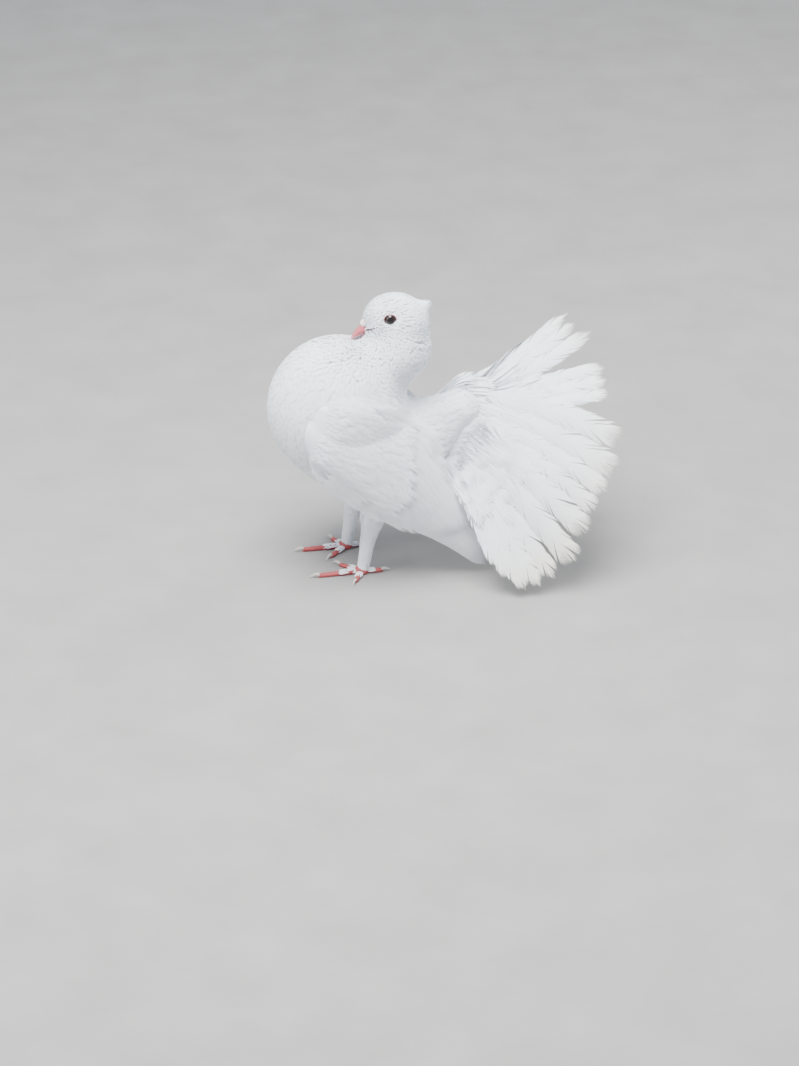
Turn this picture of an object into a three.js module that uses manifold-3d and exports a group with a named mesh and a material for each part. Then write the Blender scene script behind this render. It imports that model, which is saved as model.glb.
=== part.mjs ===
// A white fantail pigeon, life size, standing with its head drawn back over a puffed breast.
// Millimetres, +Z up. The bird faces -Y and its left side is +X. Sizes below are measured from
// the point on the ground midway between the feet; the finished bird is then moved so that the
// middle of its box stands over the origin.
import * as THREE from 'three';
import { mergeVertices } from 'three/addons/utils/BufferGeometryUtils.js';
import Module from 'manifold-3d';

const wasm = await Module();
wasm.setup();

// Gap that neighbouring pieces keep
const gap = 0.3;
const featherGap = 0.9;

// How finely the round pieces are faceted
const fine = {
  fanAlong: 5,
  featherAcross: 4,
  wingAlong: 13,
  wingAcross: 6,
  ballAround: 10,
  ballAlong: 7,
  billAround: 10,
  legAround: 12,
  padAround: 10,
  toeAround: 7,
  clawAround: 6,
};

// Flesh with its coat, as rounded masses: middle, then half sizes across, along and up
const breast = { at: [0, -8, 131.5], half: [47, 52.5, 55], blend: 16 };
const belly = { at: [0, 22, 95], half: [42, 54, 36], blend: 16 };
const skull = { at: [0, 35.5, 197.5], half: [16.5, 20.5, 21.5], blend: 7 };
const forehead = { at: [0, 28, 200], half: [12.5, 14.5, 14.5], blend: 8 };

// Flesh with its coat, as tapering limbs: from, radius there, to, radius there
const rump = { from: [0, 32, 90], wide: 32, to: [0, 86, 118.5], narrow: 17.5, blend: 10 };
const vent = { from: [0, 45, 95], wide: 29, to: [0, 92, 100], narrow: 9, blend: 14 };
const lowerNeck = { from: [0, 0, 138], wide: 34, to: [0, 37.5, 175], narrow: 23.5, blend: 6 };
const upperNeck = { from: [0, 38, 176], wide: 23.5, to: [0, 42, 194], narrow: 20.5, blend: 10 };
const crest = { from: [0, 51, 200.5], wide: 9, to: [0, 59.5, 207], narrow: 3.3, blend: 6 };

// Planes that part the head from the neck, and the neck from the breast and from the back:
// a point and the way up. Both neck planes meet in the saddle behind the neck.
const nape = { at: [0, 40, 180], up: [0, 0.27, 0.963] };
const breastLine = { at: [0, 43, 125], up: [0, 0.79, 0.613] };
const saddleLine = { at: [0, 43, 125], up: [0, -0.62, 0.78] };

// Bill, eyes
const bill = { base: [0, 16, 195.3], tip: [0, 2.6, 187.6], width: 8.4, depth: 8.6 };
const billBuried = 0.16;
const billDroop = 1.3;
const mouthDrop = 1.24;
const cereSwelling = { at: [0, 13.8, 197.8], half: [3.9, 3.6, 2.5] };
const eye = { side: 12.9, back: 30.4, up: 204.9, radius: 4.8 };

// Legs and feet, for the left side; the right foot stands a little further forward
const legLine = [[21, 16, 74], [22, 12.5, 45], [22, 8.5, 26], [22, 5, 9]];
const legRadii = [15, 12, 8.5, 6.2, 5.2, 5.4];
const footMiddle = [22, 4, 2.2];
const stepBack = { left: 2, right: -2 };
const toes = [
  { name: 'hind', turn: 176, length: 16, radius: 2.3 },
  { name: 'inner', turn: -46, length: 21, radius: 2.2 },
  { name: 'middle', turn: 1, length: 34, radius: 2.5 },
  { name: 'outer', turn: 62, length: 17, radius: 2.2 },
];
const clawLength = 7;
const footPad = { radius: 5.4, endRadius: 3.5, reach: 4.3, height: 7 };
const toeGirths = [1, 1.02, 0.9, 0.92, 0.62];
const clawRadii = [1.25, 1.2, 0.8, 0.3];
const clawHeights = [2.3, 2.5, 1.8, 0.7];

// Folded wings: rails from the wrist back to the tips of the flight feathers, left side
const wingLower = [[42, -45, 118], [46, -32, 98], [47, -6, 75], [47, 34, 48], [45, 68, 28], [42, 97, 6]];
const wingMiddle = [
  [44, -45, 138], [50, -18, 128], [52, 14, 106], [50, 46, 80], [46, 76, 44], [41.5, 99, 12],
];
const wingUpper = [[33, -32, 148], [35, -8, 153], [33, 20, 144], [28, 48, 128], [33, 78, 84], [41, 100, 19]];
const wingThick = { wrist: 5.5, tip: 1.8 };
const wingLift = 4.5;

// Tail fan: stations from the right edge over the top to the left edge. Each gives the
// feathers' turn to the left of straight back, their rise over level, and their length.
const fanRoot = [0, 71, 116];
const fanStations = [
  { turn: -64, rise: -47, length: 136 },
  { turn: -56, rise: -18, length: 139 },
  { turn: -43, rise: 6, length: 141 },
  { turn: -25, rise: 24.5, length: 139 },
  { turn: 0, rise: 13.5, length: 133 },
  { turn: 20, rise: 1.5, length: 133 },
  { turn: 33, rise: -14, length: 140 },
  { turn: 42, rise: -26, length: 141 },
  { turn: 53, rise: -41.5, length: 156 },
  { turn: 64, rise: -46.5, length: 145 },
  { turn: 71.5, rise: -47, length: 124 },
];
const fanLeaves = [
  { name: 'tail_left', feathers: 11, from: 0.505, to: 1, layer: 0, sag: 5.5, rootSpread: 0.25 },
  { name: 'tail_upper', feathers: 3, from: 0.297, to: 0.365, layer: 0.5, sag: -7, rootSpread: 0.35 },
  { name: 'tail_middle', feathers: 3, from: 0.391, to: 0.459, layer: -3, sag: 3, rootSpread: 0.5 },
  { name: 'tail_right', feathers: 9, from: 0.018, to: 0.243, layer: -4, sag: 5.5, rootSpread: 0.15 },
];
const quill = { start: 26, thick: 2.2, tipThick: 1.1, notch: 0.075, crown: 2.2 };
const floorClearance = 1.5;

// Colours
const plumage = new THREE.Color(0xf1f3f4);
const coral = new THREE.Color(0xd8606a);
const paleFlesh = new THREE.Color(0xe9c3bd);
const darkEye = new THREE.Color(0x1a1214);
const horn = new THREE.Color(0xb9aca6);

const vec = (p) => new THREE.Vector3(p[0], p[1], p[2]);
const mix = (a, b, t) => a + (b - a) * t;

// Distance to an ellipsoid, close to true near its surface
function toEllipsoid(p, mass) {
  const q = [0, 1, 2].map((k) => (p.getComponent(k) - mass.at[k]) / mass.half[k]);
  const near = Math.hypot(...q);
  const slope = Math.hypot(...q.map((value, k) => value / mass.half[k]));
  return slope < 1e-9 ? -Math.min(...mass.half) : (near * (near - 1)) / slope;
}

// Distance to a limb whose radius changes evenly from one end to the other
function toLimb(p, limb) {
  const start = vec(limb.from);
  const along = vec(limb.to).sub(start);
  const t = THREE.MathUtils.clamp(p.clone().sub(start).dot(along) / along.lengthSq(), 0, 1);
  return p.distanceTo(start.addScaledVector(along, t)) - mix(limb.wide, limb.narrow, t);
}

// Two masses melted together over a given width
function melt(a, b, width) {
  const overlap = Math.max(width - Math.abs(a - b), 0) / width;
  return Math.min(a, b) - (overlap * overlap * width) / 4;
}

// Distance to the surface of the coat over head, neck and trunk
function toCoat(p) {
  let distance = toEllipsoid(p, breast);
  for (const mass of [belly, rump, vent, lowerNeck, upperNeck, skull, forehead, crest]) {
    const next = mass.from ? toLimb(p, mass) : toEllipsoid(p, mass);
    distance = melt(distance, next, mass.blend);
  }
  return distance;
}

const middleOf = (ring) => ring.reduce((sum, p) => sum.add(p), new THREE.Vector3()).divideScalar(ring.length);

function withFaces(points, faces) {
  const geometry = new THREE.BufferGeometry();
  geometry.setAttribute('position', new THREE.Float32BufferAttribute(points.flatMap((p) => p.toArray()), 3));
  geometry.setIndex(faces);
  return geometry;
}

// Faces of the bands between rings that follow each other, whose points are numbered from start
function bands(rings, start) {
  const count = rings[0].length;
  const at = (ring, k) => start + ring * count + (k % count);
  const faces = [];
  for (let ring = 0; ring + 1 < rings.length; ring += 1) {
    for (let k = 0; k < count; k += 1) {
      faces.push(at(ring, k), at(ring, k + 1), at(ring + 1, k + 1));
      faces.push(at(ring, k), at(ring + 1, k + 1), at(ring + 1, k));
    }
  }
  return faces;
}

// A closed geometry from rings of points, with a point at each end
function fromRings(first, rings, last) {
  const count = rings[0].length;
  const end = rings.length * count + 1;
  const faces = bands(rings, 1);
  for (let k = 0; k < count; k += 1) {
    const after = (k + 1) % count;
    faces.push(0, 1 + after, 1 + k);
    faces.push(end, end - count + k, end - count + after);
  }
  return withFaces([first, ...rings.flat(), last], faces);
}

// Closed thin sheet: each ring holds its upper row and then its under row, turned back
function fromRows(rings) {
  const count = rings[0].length;
  const far = (rings.length - 1) * count;
  const faces = bands(rings, 0);
  for (let k = 0; k + 1 < count / 2; k += 1) {
    const under = count - 1 - k;
    faces.push(k, under, under - 1);
    faces.push(k, under - 1, k + 1);
    faces.push(far + k, far + under - 1, far + under);
    faces.push(far + k, far + k + 1, far + under - 1);
  }
  return withFaces(rings.flat(), faces);
}

// The coat's surface seen from a middle point: every ray goes out to where it leaves the coat
function wrap(middle, around, along, swell) {
  const centre = vec(middle);
  const reach = 140;
  const hit = (direction) => {
    let low = 0;
    let high = 2;
    while (high < reach && toCoat(centre.clone().addScaledVector(direction, high)) < swell) {
      low = high;
      high += 2;
    }
    for (let step = 0; step < 16; step += 1) {
      const half = (low + high) / 2;
      if (toCoat(centre.clone().addScaledVector(direction, half)) < swell) low = half;
      else high = half;
    }
    return centre.clone().addScaledVector(direction, (low + high) / 2);
  };
  const rings = [];
  for (let i = 1; i < along; i += 1) {
    const tilt = (Math.PI * i) / along;
    const ring = [];
    for (let k = 0; k < around; k += 1) {
      const turn = (2 * Math.PI * k) / around;
      const flat = Math.sin(tilt);
      ring.push(hit(new THREE.Vector3(flat * Math.cos(turn), -Math.cos(tilt), -flat * Math.sin(turn))));
    }
    rings.push(ring);
  }
  return fromRings(hit(new THREE.Vector3(0, -1, 0)), rings, hit(new THREE.Vector3(0, 1, 0)));
}

// Geometry to solid and back, for cuts and joins
function toSolid(geometry) {
  const bare = geometry.clone();
  bare.deleteAttribute('normal');
  bare.deleteAttribute('uv');
  const merged = mergeVertices(bare, 1e-4);
  const vertProperties = new Float32Array(merged.attributes.position.array);
  const triVerts = new Uint32Array(merged.index.array);
  return new wasm.Manifold(new wasm.Mesh({ numProp: 3, vertProperties, triVerts }));
}

function toGeometry(solid) {
  const mesh = solid.getMesh();
  const geometry = new THREE.BufferGeometry();
  geometry.setAttribute('position', new THREE.BufferAttribute(new Float32Array(mesh.vertProperties), 3));
  geometry.setIndex(new THREE.BufferAttribute(new Uint32Array(mesh.triVerts), 1));
  return geometry;
}

// A large block that fills one side of a parting plane, held back by half the gap
function halfSpace(plane, side) {
  const size = 400;
  const up = vec(plane.up).normalize();
  const block = new THREE.BoxGeometry(size, size, size);
  block.translate(0, 0, side * (size / 2 + gap / 2));
  block.applyQuaternion(new THREE.Quaternion().setFromUnitVectors(new THREE.Vector3(0, 0, 1), up));
  block.translate(...plane.at);
  return toSolid(block);
}

// Largest body of a solid, so that a cut leaves no crumbs
function mainBody(solid) {
  const bodies = solid.decompose();
  return bodies.reduce((best, body) => (body.volume() > best.volume() ? body : best));
}

function ellipsoid(at, half, around, along) {
  const geometry = new THREE.SphereGeometry(1, around, along);
  geometry.rotateX(Math.PI / 2);
  geometry.scale(...half);
  geometry.translate(...at);
  return geometry;
}

// A round tapering tube along a path. Points below the ground are brought up to it, which
// gives the flat that the bird stands on.
function tube(path, radii, around, squash = 1) {
  const curve = new THREE.CatmullRomCurve3(path.map(vec));
  const stations = radii.length;
  const ringAt = (t, radius) => {
    const centre = curve.getPoint(t);
    const forward = curve.getTangent(t);
    const side = new THREE.Vector3(forward.y, -forward.x, 0);
    if (side.lengthSq() < 1e-6) side.set(1, 0, 0);
    side.normalize();
    const up = side.clone().cross(forward).normalize();
    const ring = [];
    for (let k = 0; k < around; k += 1) {
      const turn = (2 * Math.PI * k) / around;
      const point = centre.clone().addScaledVector(side, radius * Math.cos(turn));
      point.addScaledVector(up, radius * squash * Math.sin(turn));
      point.z = Math.max(point.z, 0);
      ring.push(point);
    }
    return ring;
  };
  const rings = radii.map((radius, k) => ringAt(k / (stations - 1), radius));
  return fromRings(curve.getPoint(0), rings, curve.getPoint(1));
}

// A thin sheet given by a function of two numbers from 0 to 1, thickened to both sides, and
// swollen by the same amount at its faces and its edges. Its directions come from a plainer
// function, so that its two faces never cross where it is crimped.
function sheet(place, plain, thickness, along, across, swell) {
  const step = 1e-3;
  const edgeOf = (t) => (t === 0 ? -1 : Number(t === 1));
  const sides = (u, v) => {
    const here = place(u, v);
    const du = plain(Math.min(u + step, 1), v).sub(plain(Math.max(u - step, 0), v)).normalize();
    const dv = plain(u, Math.min(v + step, 1)).sub(plain(u, Math.max(v - step, 0))).normalize();
    here.addScaledVector(du, edgeOf(u) * swell).addScaledVector(dv, edgeOf(v) * swell);
    const out = du.clone().cross(dv).normalize();
    const half = thickness(u) / 2 + swell;
    return [here.clone().addScaledVector(out, half), here.clone().addScaledVector(out, -half)];
  };
  const rings = [];
  for (let i = 0; i <= along; i += 1) {
    const top = [];
    const under = [];
    for (let k = 0; k <= across; k += 1) {
      const [above, below] = sides(i / along, k / across);
      top.push(above);
      under.unshift(below);
    }
    rings.push([...top, ...under]);
  }
  return fromRows(rings);
}

// Outward-facing version of a geometry
function facingOut(geometry) {
  if (toSolid(geometry).volume() > 0) return geometry;
  const turned = geometry.clone();
  const faces = turned.index.array;
  for (let k = 0; k < faces.length; k += 3) [faces[k], faces[k + 1]] = [faces[k + 1], faces[k]];
  return turned;
}

// The point pushed out of the coat until it clears it by the wanted lift
function pushOut(point, lift) {
  const step = 0.5;
  const moved = point.clone();
  for (let round = 0; round < 12; round += 1) {
    const distance = toCoat(moved);
    if (distance >= lift) break;
    const slope = new THREE.Vector3();
    for (let k = 0; k < 3; k += 1) {
      const ahead = moved.clone();
      ahead.setComponent(k, ahead.getComponent(k) + step);
      slope.setComponent(k, toCoat(ahead) - distance);
    }
    moved.addScaledVector(slope.normalize(), lift - distance);
  }
  return moved;
}

// Wing sheet: u runs from the wrist to the tips, v from the lower edge over the middle to the top
function wingPlace(side) {
  const rails = [wingLower, wingMiddle, wingUpper].map((rail) => new THREE.CatmullRomCurve3(rail.map(vec)));
  return (u, v) => {
    const [low, middle, high] = rails.map((rail) => rail.getPoint(u));
    const across = new THREE.QuadraticBezierCurve3(low, middle.clone().multiplyScalar(2), high);
    across.v1.sub(low.clone().add(high).divideScalar(2));
    const point = pushOut(across.getPoint(v), wingLift);
    point.x *= side;
    return point;
  };
}

// Fan directions as smooth curves through the stations
const fanTips = new THREE.CatmullRomCurve3(fanStations.map(({ turn, rise, length }) => {
  const level = Math.cos(THREE.MathUtils.degToRad(rise)) * length;
  const sideways = Math.sin(THREE.MathUtils.degToRad(turn)) * level;
  const back = Math.cos(THREE.MathUtils.degToRad(turn)) * level;
  const up = Math.sin(THREE.MathUtils.degToRad(rise)) * length;
  return vec(fanRoot).add(new THREE.Vector3(sideways, back, up));
}));

// A leaf of the fan: u from root to rim, v across its feathers, each with a rounded tip. The
// plain leaf has neither crowned feathers nor notches between their tips.
function fanPlace(leaf, isPlain) {
  const middle = fanTips.getPoint((leaf.from + leaf.to) / 2);
  return (u, v) => {
    const tip = fanTips.getPoint(mix(leaf.from, leaf.to, v));
    const root = vec(fanRoot).addScaledVector(tip.clone().sub(middle), leaf.rootSpread);
    const reach = root.distanceTo(tip);
    const feather = v * leaf.feathers;
    const fromMiddle = Math.abs(feather - Math.floor(feather) - 0.5) * 2;
    const edge = v === 0 || v === 1 ? 1 : fromMiddle;
    const rim = isPlain ? 1 : 1 - quill.notch * edge ** 2 * u ** 4;
    const crown = isPlain ? 0 : quill.crown * (0.5 - edge) * u;
    const share = mix(quill.start / reach, rim, u);
    const point = root.clone().lerp(tip, share);
    const outward = point.clone().sub(new THREE.Vector3(0, 60, 60)).normalize();
    point.addScaledVector(outward, leaf.sag * Math.sin(Math.PI * u) + crown + leaf.layer);
    if (!isPlain) point.z = Math.max(point.z, floorClearance);
    return point;
  };
}

const bird = new THREE.Group();

function add(name, geometry, colour, roughness = 0.8) {
  const closed = geometry.index ? geometry : mergeVertices(geometry);
  const material = new THREE.MeshStandardMaterial({ color: colour, roughness, metalness: 0 });
  closed.computeVertexNormals();
  const mesh = new THREE.Mesh(closed, material);
  mesh.name = name;
  bird.add(mesh);
  return mesh;
}

// Eyes, and the room each one takes in the head
const eyeAt = (side) => [eye.side * side, eye.back, eye.up];
const eyeBall = (side, radius) => {
  const half = [radius, radius, radius];
  return ellipsoid(eyeAt(side), half, fine.ballAround, fine.ballAlong);
};

// Bill: a cone with a bent, drooping tip, parted along the mouth
function billShape(swell) {
  const base = vec(bill.base);
  const tip = vec(bill.tip);
  const length = base.distanceTo(tip);
  const forward = tip.clone().sub(base).normalize();
  const up = new THREE.Vector3(0, forward.z, -forward.y);
  const rings = [];
  const stations = 7;
  for (let i = 0; i < stations; i += 1) {
    const t = i / (stations - 1);
    const slim = Math.sqrt(1 - (0.97 * t) ** 1.7);
    const forwardBy = length * mix(-billBuried, 1, t);
    const middle = base.clone().addScaledVector(forward, forwardBy).addScaledVector(up, -billDroop * t ** 3);
    const ring = [];
    for (let k = 0; k < fine.billAround; k += 1) {
      const turn = (2 * Math.PI * k) / fine.billAround;
      const point = middle.clone();
      point.x += (bill.width / 2) * slim * Math.cos(turn) + swell * Math.cos(turn);
      point.addScaledVector(up, ((bill.depth / 2) * slim + swell) * Math.sin(turn));
      ring.push(point);
    }
    rings.push(ring);
  }
  const start = base.clone().addScaledVector(forward, -billBuried * length - 0.5);
  const end = middleOf(rings[stations - 1]).addScaledVector(forward, 0.4 + swell);
  return toSolid(facingOut(fromRings(start, rings, end)));
}

const forwardOfBill = vec(bill.tip).sub(vec(bill.base)).normalize();
const mouth = {
  at: vec(bill.base).addScaledVector(new THREE.Vector3(0, 0, 1), -mouthDrop).toArray(),
  up: [0, forwardOfBill.z, -forwardOfBill.y],
};
const cereSolid = (swell) => toSolid(facingOut(ellipsoid(
  cereSwelling.at,
  cereSwelling.half.map((h) => h + swell),
  fine.ballAround,
  fine.ballAlong,
)));

// Solids with the gap added, for cutting neighbours
const trunkWrap = { middle: [0, 16, 114], around: 30, along: 20 };
const neckWrap = { middle: [0, 32, 164], around: 24, along: 14 };
const headWrap = { middle: [0, 37, 197], around: 22, along: 14 };
const wrapped = (part, swell) => toSolid(facingOut(wrap(part.middle, part.around, part.along, swell)));
const trunkSwollen = wrapped(trunkWrap, gap);
const overTrunk = halfSpace(breastLine, 1).intersect(halfSpace(saddleLine, 1));
const underNeck = halfSpace(breastLine, -1).add(halfSpace(saddleLine, -1));
const trunkSolid = mainBody(wrapped(trunkWrap, 0).intersect(underNeck));
const neckSolid = mainBody(wrapped(neckWrap, 0).intersect(overTrunk).intersect(halfSpace(nape, -1)));
let headSolid = wrapped(headWrap, 0).intersect(halfSpace(nape, 1)).intersect(overTrunk);
for (const side of [1, -1]) {
  headSolid = headSolid.subtract(toSolid(facingOut(eyeBall(side, eye.radius + gap))));
}
const billSolid = billShape(0);
headSolid = mainBody(headSolid.subtract(billShape(gap)).subtract(cereSolid(gap)));
add('trunk', toGeometry(trunkSolid), plumage);
add('neck', toGeometry(neckSolid), plumage);
add('head', toGeometry(headSolid), plumage);
const neckSwollen = wrapped(neckWrap, gap);
const upperBill = billSolid.subtract(cereSolid(gap)).intersect(halfSpace(mouth, 1)).subtract(neckSwollen);
const lowerBill = billSolid.intersect(halfSpace(mouth, -1)).subtract(neckSwollen);
add('bill_upper', toGeometry(mainBody(upperBill)), coral, 0.5);
add('bill_lower', toGeometry(mainBody(lowerBill)), coral, 0.5);
add('cere', toGeometry(cereSolid(0)), paleFlesh, 0.6);

// Wing and tail blades, with the gap added where they cut a neighbour
function wingBlade(side, swell) {
  const thickness = (u) => mix(wingThick.wrist, wingThick.tip, u);
  const place = wingPlace(side);
  return toSolid(facingOut(sheet(place, place, thickness, fine.wingAlong, fine.wingAcross, swell)));
}

function leafBlade(leaf, swell) {
  const thickness = (u) => mix(quill.thick, quill.tipThick, u);
  const across = leaf.feathers * fine.featherAcross;
  const shape = sheet(fanPlace(leaf, false), fanPlace(leaf, true), thickness, fine.fanAlong, across, swell);
  return toSolid(facingOut(shape));
}

// Legs, feet and claws
function toePath(centre, toe, side, from, to, heights) {
  const turn = THREE.MathUtils.degToRad(toe.turn);
  const way = new THREE.Vector3(Math.sin(turn) * side, -Math.cos(turn), 0);
  return heights.map((height, k) => {
    const point = vec(centre).addScaledVector(way, mix(from, to, k / (heights.length - 1)));
    return [point.x, point.y, height];
  });
}

function footPath(centre) {
  const ends = [-footPad.reach, 0, footPad.reach];
  return ends.map((reach) => [centre[0], centre[1] + reach, reach ? 1.5 : 3.2]);
}

for (const [word, side] of [['left', 1], ['right', -1]]) {
  add(`eye_${word}`, facingOut(eyeBall(side, eye.radius)), darkEye, 0.1);

  const shift = (p) => [p[0] * side, p[1] + stepBack[word], p[2]];
  const centre = shift(footMiddle);
  const legSolid = toSolid(facingOut(tube(legLine.map(shift), legRadii, fine.legAround)));

  const padRadii = [footPad.endRadius, footPad.radius, footPad.radius, footPad.endRadius];
  let footSolid = toSolid(facingOut(tube(footPath(centre), padRadii, fine.padAround, 0.85)));
  for (const toe of toes) {
    const level = toe.radius * 0.82;
    const line = toePath(centre, toe, side, 1, toe.length, [level, level, level]);
    const girths = toeGirths.map((share) => share * toe.radius);
    footSolid = footSolid.add(toSolid(facingOut(tube(line, girths, fine.toeAround))));
    const clawStart = toe.length + gap + 0.1;
    const clawLine = toePath(centre, toe, side, clawStart, clawStart + clawLength, clawHeights);
    add(`claw_${word}_${toe.name}`, facingOut(tube(clawLine, clawRadii, fine.clawAround)), horn, 0.5);
  }
  const legOnly = mainBody(legSolid.subtract(trunkSwollen));
  const ankleTop = { at: [centre[0], centre[1], footPad.height], up: [0, 0, 1] };
  add(`leg_${word}`, toGeometry(mainBody(legOnly.intersect(halfSpace(ankleTop, 1)))), plumage);
  add(`foot_${word}`, toGeometry(footSolid.intersect(halfSpace(ankleTop, -1))), coral, 0.6);

  const body = trunkSwollen.add(neckSwollen);
  add(`wing_${word}`, toGeometry(mainBody(wingBlade(side, 0).subtract(body))), plumage);
}

// Tail: each leaf gives way to the trunk, the wings and the leaves that lie over it
let inTheWay = trunkSwollen.add(wingBlade(1, featherGap)).add(wingBlade(-1, featherGap));
for (const leaf of fanLeaves) {
  const blade = leafBlade(leaf, 0);
  add(leaf.name, toGeometry(mainBody(blade.subtract(inTheWay))), plumage);
  inTheWay = inTheWay.add(leafBlade(leaf, featherGap)).add(blade);
}

// Stand the bird's box over the origin
const box = new THREE.Box3().setFromObject(bird);
const centreOfBox = box.getCenter(new THREE.Vector3());
bird.position.set(-centreOfBox.x, -centreOfBox.y, 0);

export default bird;
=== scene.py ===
import math

import bpy
import numpy as np
from mathutils import Matrix, Vector


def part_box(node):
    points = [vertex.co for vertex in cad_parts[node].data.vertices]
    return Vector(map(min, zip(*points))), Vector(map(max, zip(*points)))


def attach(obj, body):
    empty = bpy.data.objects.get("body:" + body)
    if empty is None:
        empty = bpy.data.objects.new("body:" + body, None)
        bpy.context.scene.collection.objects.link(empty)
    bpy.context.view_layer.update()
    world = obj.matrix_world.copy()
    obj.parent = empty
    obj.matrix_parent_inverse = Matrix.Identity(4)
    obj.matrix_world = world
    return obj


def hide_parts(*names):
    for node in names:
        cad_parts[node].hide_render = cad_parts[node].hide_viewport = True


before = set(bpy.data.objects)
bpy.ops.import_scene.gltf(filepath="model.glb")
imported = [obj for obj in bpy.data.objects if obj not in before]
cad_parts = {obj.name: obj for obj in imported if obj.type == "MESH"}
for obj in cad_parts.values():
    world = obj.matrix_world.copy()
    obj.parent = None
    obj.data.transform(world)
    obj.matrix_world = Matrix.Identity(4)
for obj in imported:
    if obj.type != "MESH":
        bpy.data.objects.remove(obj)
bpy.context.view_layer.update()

# A white fantail pigeon: one skin, a coat of small vanes over it, and large barbed feathers in
# the wings and the tail. Sizes are in millimetres from the point on the ground midway between
# the feet; the bird faces -Y and its left side is +X. Only make_piece turns them into metres.
MM = 0.001
rng = np.random.default_rng(20)

# Masses of flesh and coat: middle, half sizes across, along and up, and the width of the melt
BREAST = ((0, -8, 131.5), (47, 52.5, 55), 16)
BELLY = ((0, 22, 95), (42, 54, 36), 16)
SKULL = ((0, 35.5, 197.5), (16.5, 20.5, 21.5), 7)
FOREHEAD = ((0, 28, 200), (12.5, 14.5, 14.5), 8)

# Tapering limbs of flesh and coat: from, radius there, to, radius there, width of the melt
RUMP = ((0, 32, 90), 32, (0, 86, 118.5), 17.5, 10)
VENT = ((0, 45, 95), 29, (0, 92, 100), 9, 14)
LOWER_NECK = ((0, 0, 138), 34, (0, 37.5, 175), 23.5, 6)
UPPER_NECK = ((0, 38, 176), 23.5, (0, 42, 194), 20.5, 10)
CREST = ((0, 51, 200.5), 9, (0, 59.5, 207), 3.3, 6)
BODY = (BREAST, BELLY, RUMP, VENT, LOWER_NECK, UPPER_NECK, SKULL, FOREHEAD, CREST)

# Eyes, bill, legs and feet
EYE = np.array([12.9, 30.4, 204.9])
EYE_RADIUS = 4.8
EYE_BULGE = 0.03
EYE_AXIS = np.array([0.965, -0.22, 0.14])
EYE_OPEN_WIDE = 4.15
EYE_OPEN_HIGH = 3.45
MARGIN_APART = 0.15
BILL_BASE = np.array([0, 16, 195.3])
BILL_TIP = np.array([0, 2.6, 187.6])
BILL_WIDE = 8.4
BILL_DEEP = 8.6
CERE = np.array([0, 13.8, 197.8])
LEG_LINE = ((21, 16, 74), (22, 12.5, 45), (22, 8.5, 26), (22, 5, 4))
LEG_RADII = (15, 8.5, 5.4, 4.6)
FOOT = np.array([22, 4, 2.2])
STEP_BACK = {"left": 2, "right": -2}
# Toes: turn outwards from straight ahead in degrees, length and radius
TOES = {"hind": (176, 16, 2.3), "inner": (-46, 21, 2.2), "middle": (1, 34, 2.5), "outer": (62, 17, 2.2)}
CLAW_LENGTH = 7.0
TOE_TUFTS = 60

# Folded wing: rails from the wrist back to the tips, for the left side
WING_LOWER = ((42, -45, 118), (46, -32, 98), (47, -6, 75), (47, 34, 48), (45, 68, 28), (42, 97, 6))
WING_MIDDLE = ((44, -45, 138), (50, -18, 128), (52, 14, 106), (50, 46, 80), (46, 76, 44), (41.5, 99, 12))
WING_UPPER = ((33, -32, 148), (35, -8, 153), (33, 20, 144), (28, 48, 128), (33, 78, 84), (41, 100, 19))
WING_LIFT = 4.5

# Tail fan: turn to the left of straight back, rise over level and length, from right to left
FAN_ROOT = np.array([0, 71, 116.0])
FAN_STATIONS = (
    (-64, -47, 136), (-56, -18, 139), (-43, 6, 141), (-25, 24.5, 139), (0, 13.5, 133), (20, 1.5, 133),
    (33, -14, 140), (42, -26, 141), (53, -41.5, 156), (64, -46.5, 145), (71.5, -47, 124),
)
# Leaves of the fan: feathers, share of the rim from and to, layer, sag, spread of the roots
FAN_LEAVES = {
    "left": (11, 0.505, 1.0, 0.0, 5.5, 0.25),
    "upper": (3, 0.297, 0.365, 0.5, -7.0, 0.35),
    "middle": (3, 0.391, 0.459, -3.0, 3.0, 0.5),
    "right": (9, 0.018, 0.243, -4.0, 5.5, 0.15),
}
# A point inside the body, away from which the leaves bow
FAN_INSIDE = np.array([0, 60, 60.0])
QUILL_START = 26
FLOOR_CLEARANCE = 1.5
# Distances from the fan's root at which its feathers start to look worn, and are all worn
WORN_FROM, WORN_FULL = 108, 142

# The bird's place in the shared frame, from where its left eye stands there
low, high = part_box("eye_left")
SHIFT = (np.array(low) + np.array(high)) / 2 / MM - EYE


def unit(vectors):
    """Vectors brought to length one."""
    return vectors / np.maximum(np.linalg.norm(vectors, axis=-1, keepdims=True), 1e-9)


def smooth(value, start, end):
    """0 before start, 1 after end, and a cubic between them."""
    t = np.clip((value - start) / (end - start), 0, 1)
    return t * t * (3 - 2 * t)


def mix(a, b, t):
    """A share t of b with the rest of a."""
    return a + (b - a) * t


def round_turns(count):
    """Turns once round, in even steps."""
    return np.linspace(0, 2 * math.pi, count, endpoint=False)


def pole_to_pole(count):
    """A column of tilts in even steps from one pole to the other, without the poles."""
    return np.linspace(0, math.pi, count)[1:-1][:, None]


def on_map(share):
    """A share from 0 to 1 as a place on the unwrap, a little inside its edges."""
    return mix(0.03, 0.97, np.clip(share, 0, 1))


def to_ellipsoid(p, middle, half):
    """Distance to an ellipsoid: k (k - 1) / |slope of k|, where k is the scaled radius."""
    q = (p - np.array(middle, float)) / np.array(half, float)
    k = np.linalg.norm(q, axis=-1)
    slope = np.linalg.norm(q / np.array(half, float), axis=-1)
    return np.where(slope < 1e-9, -min(half), k * (k - 1) / np.maximum(slope, 1e-9))


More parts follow.
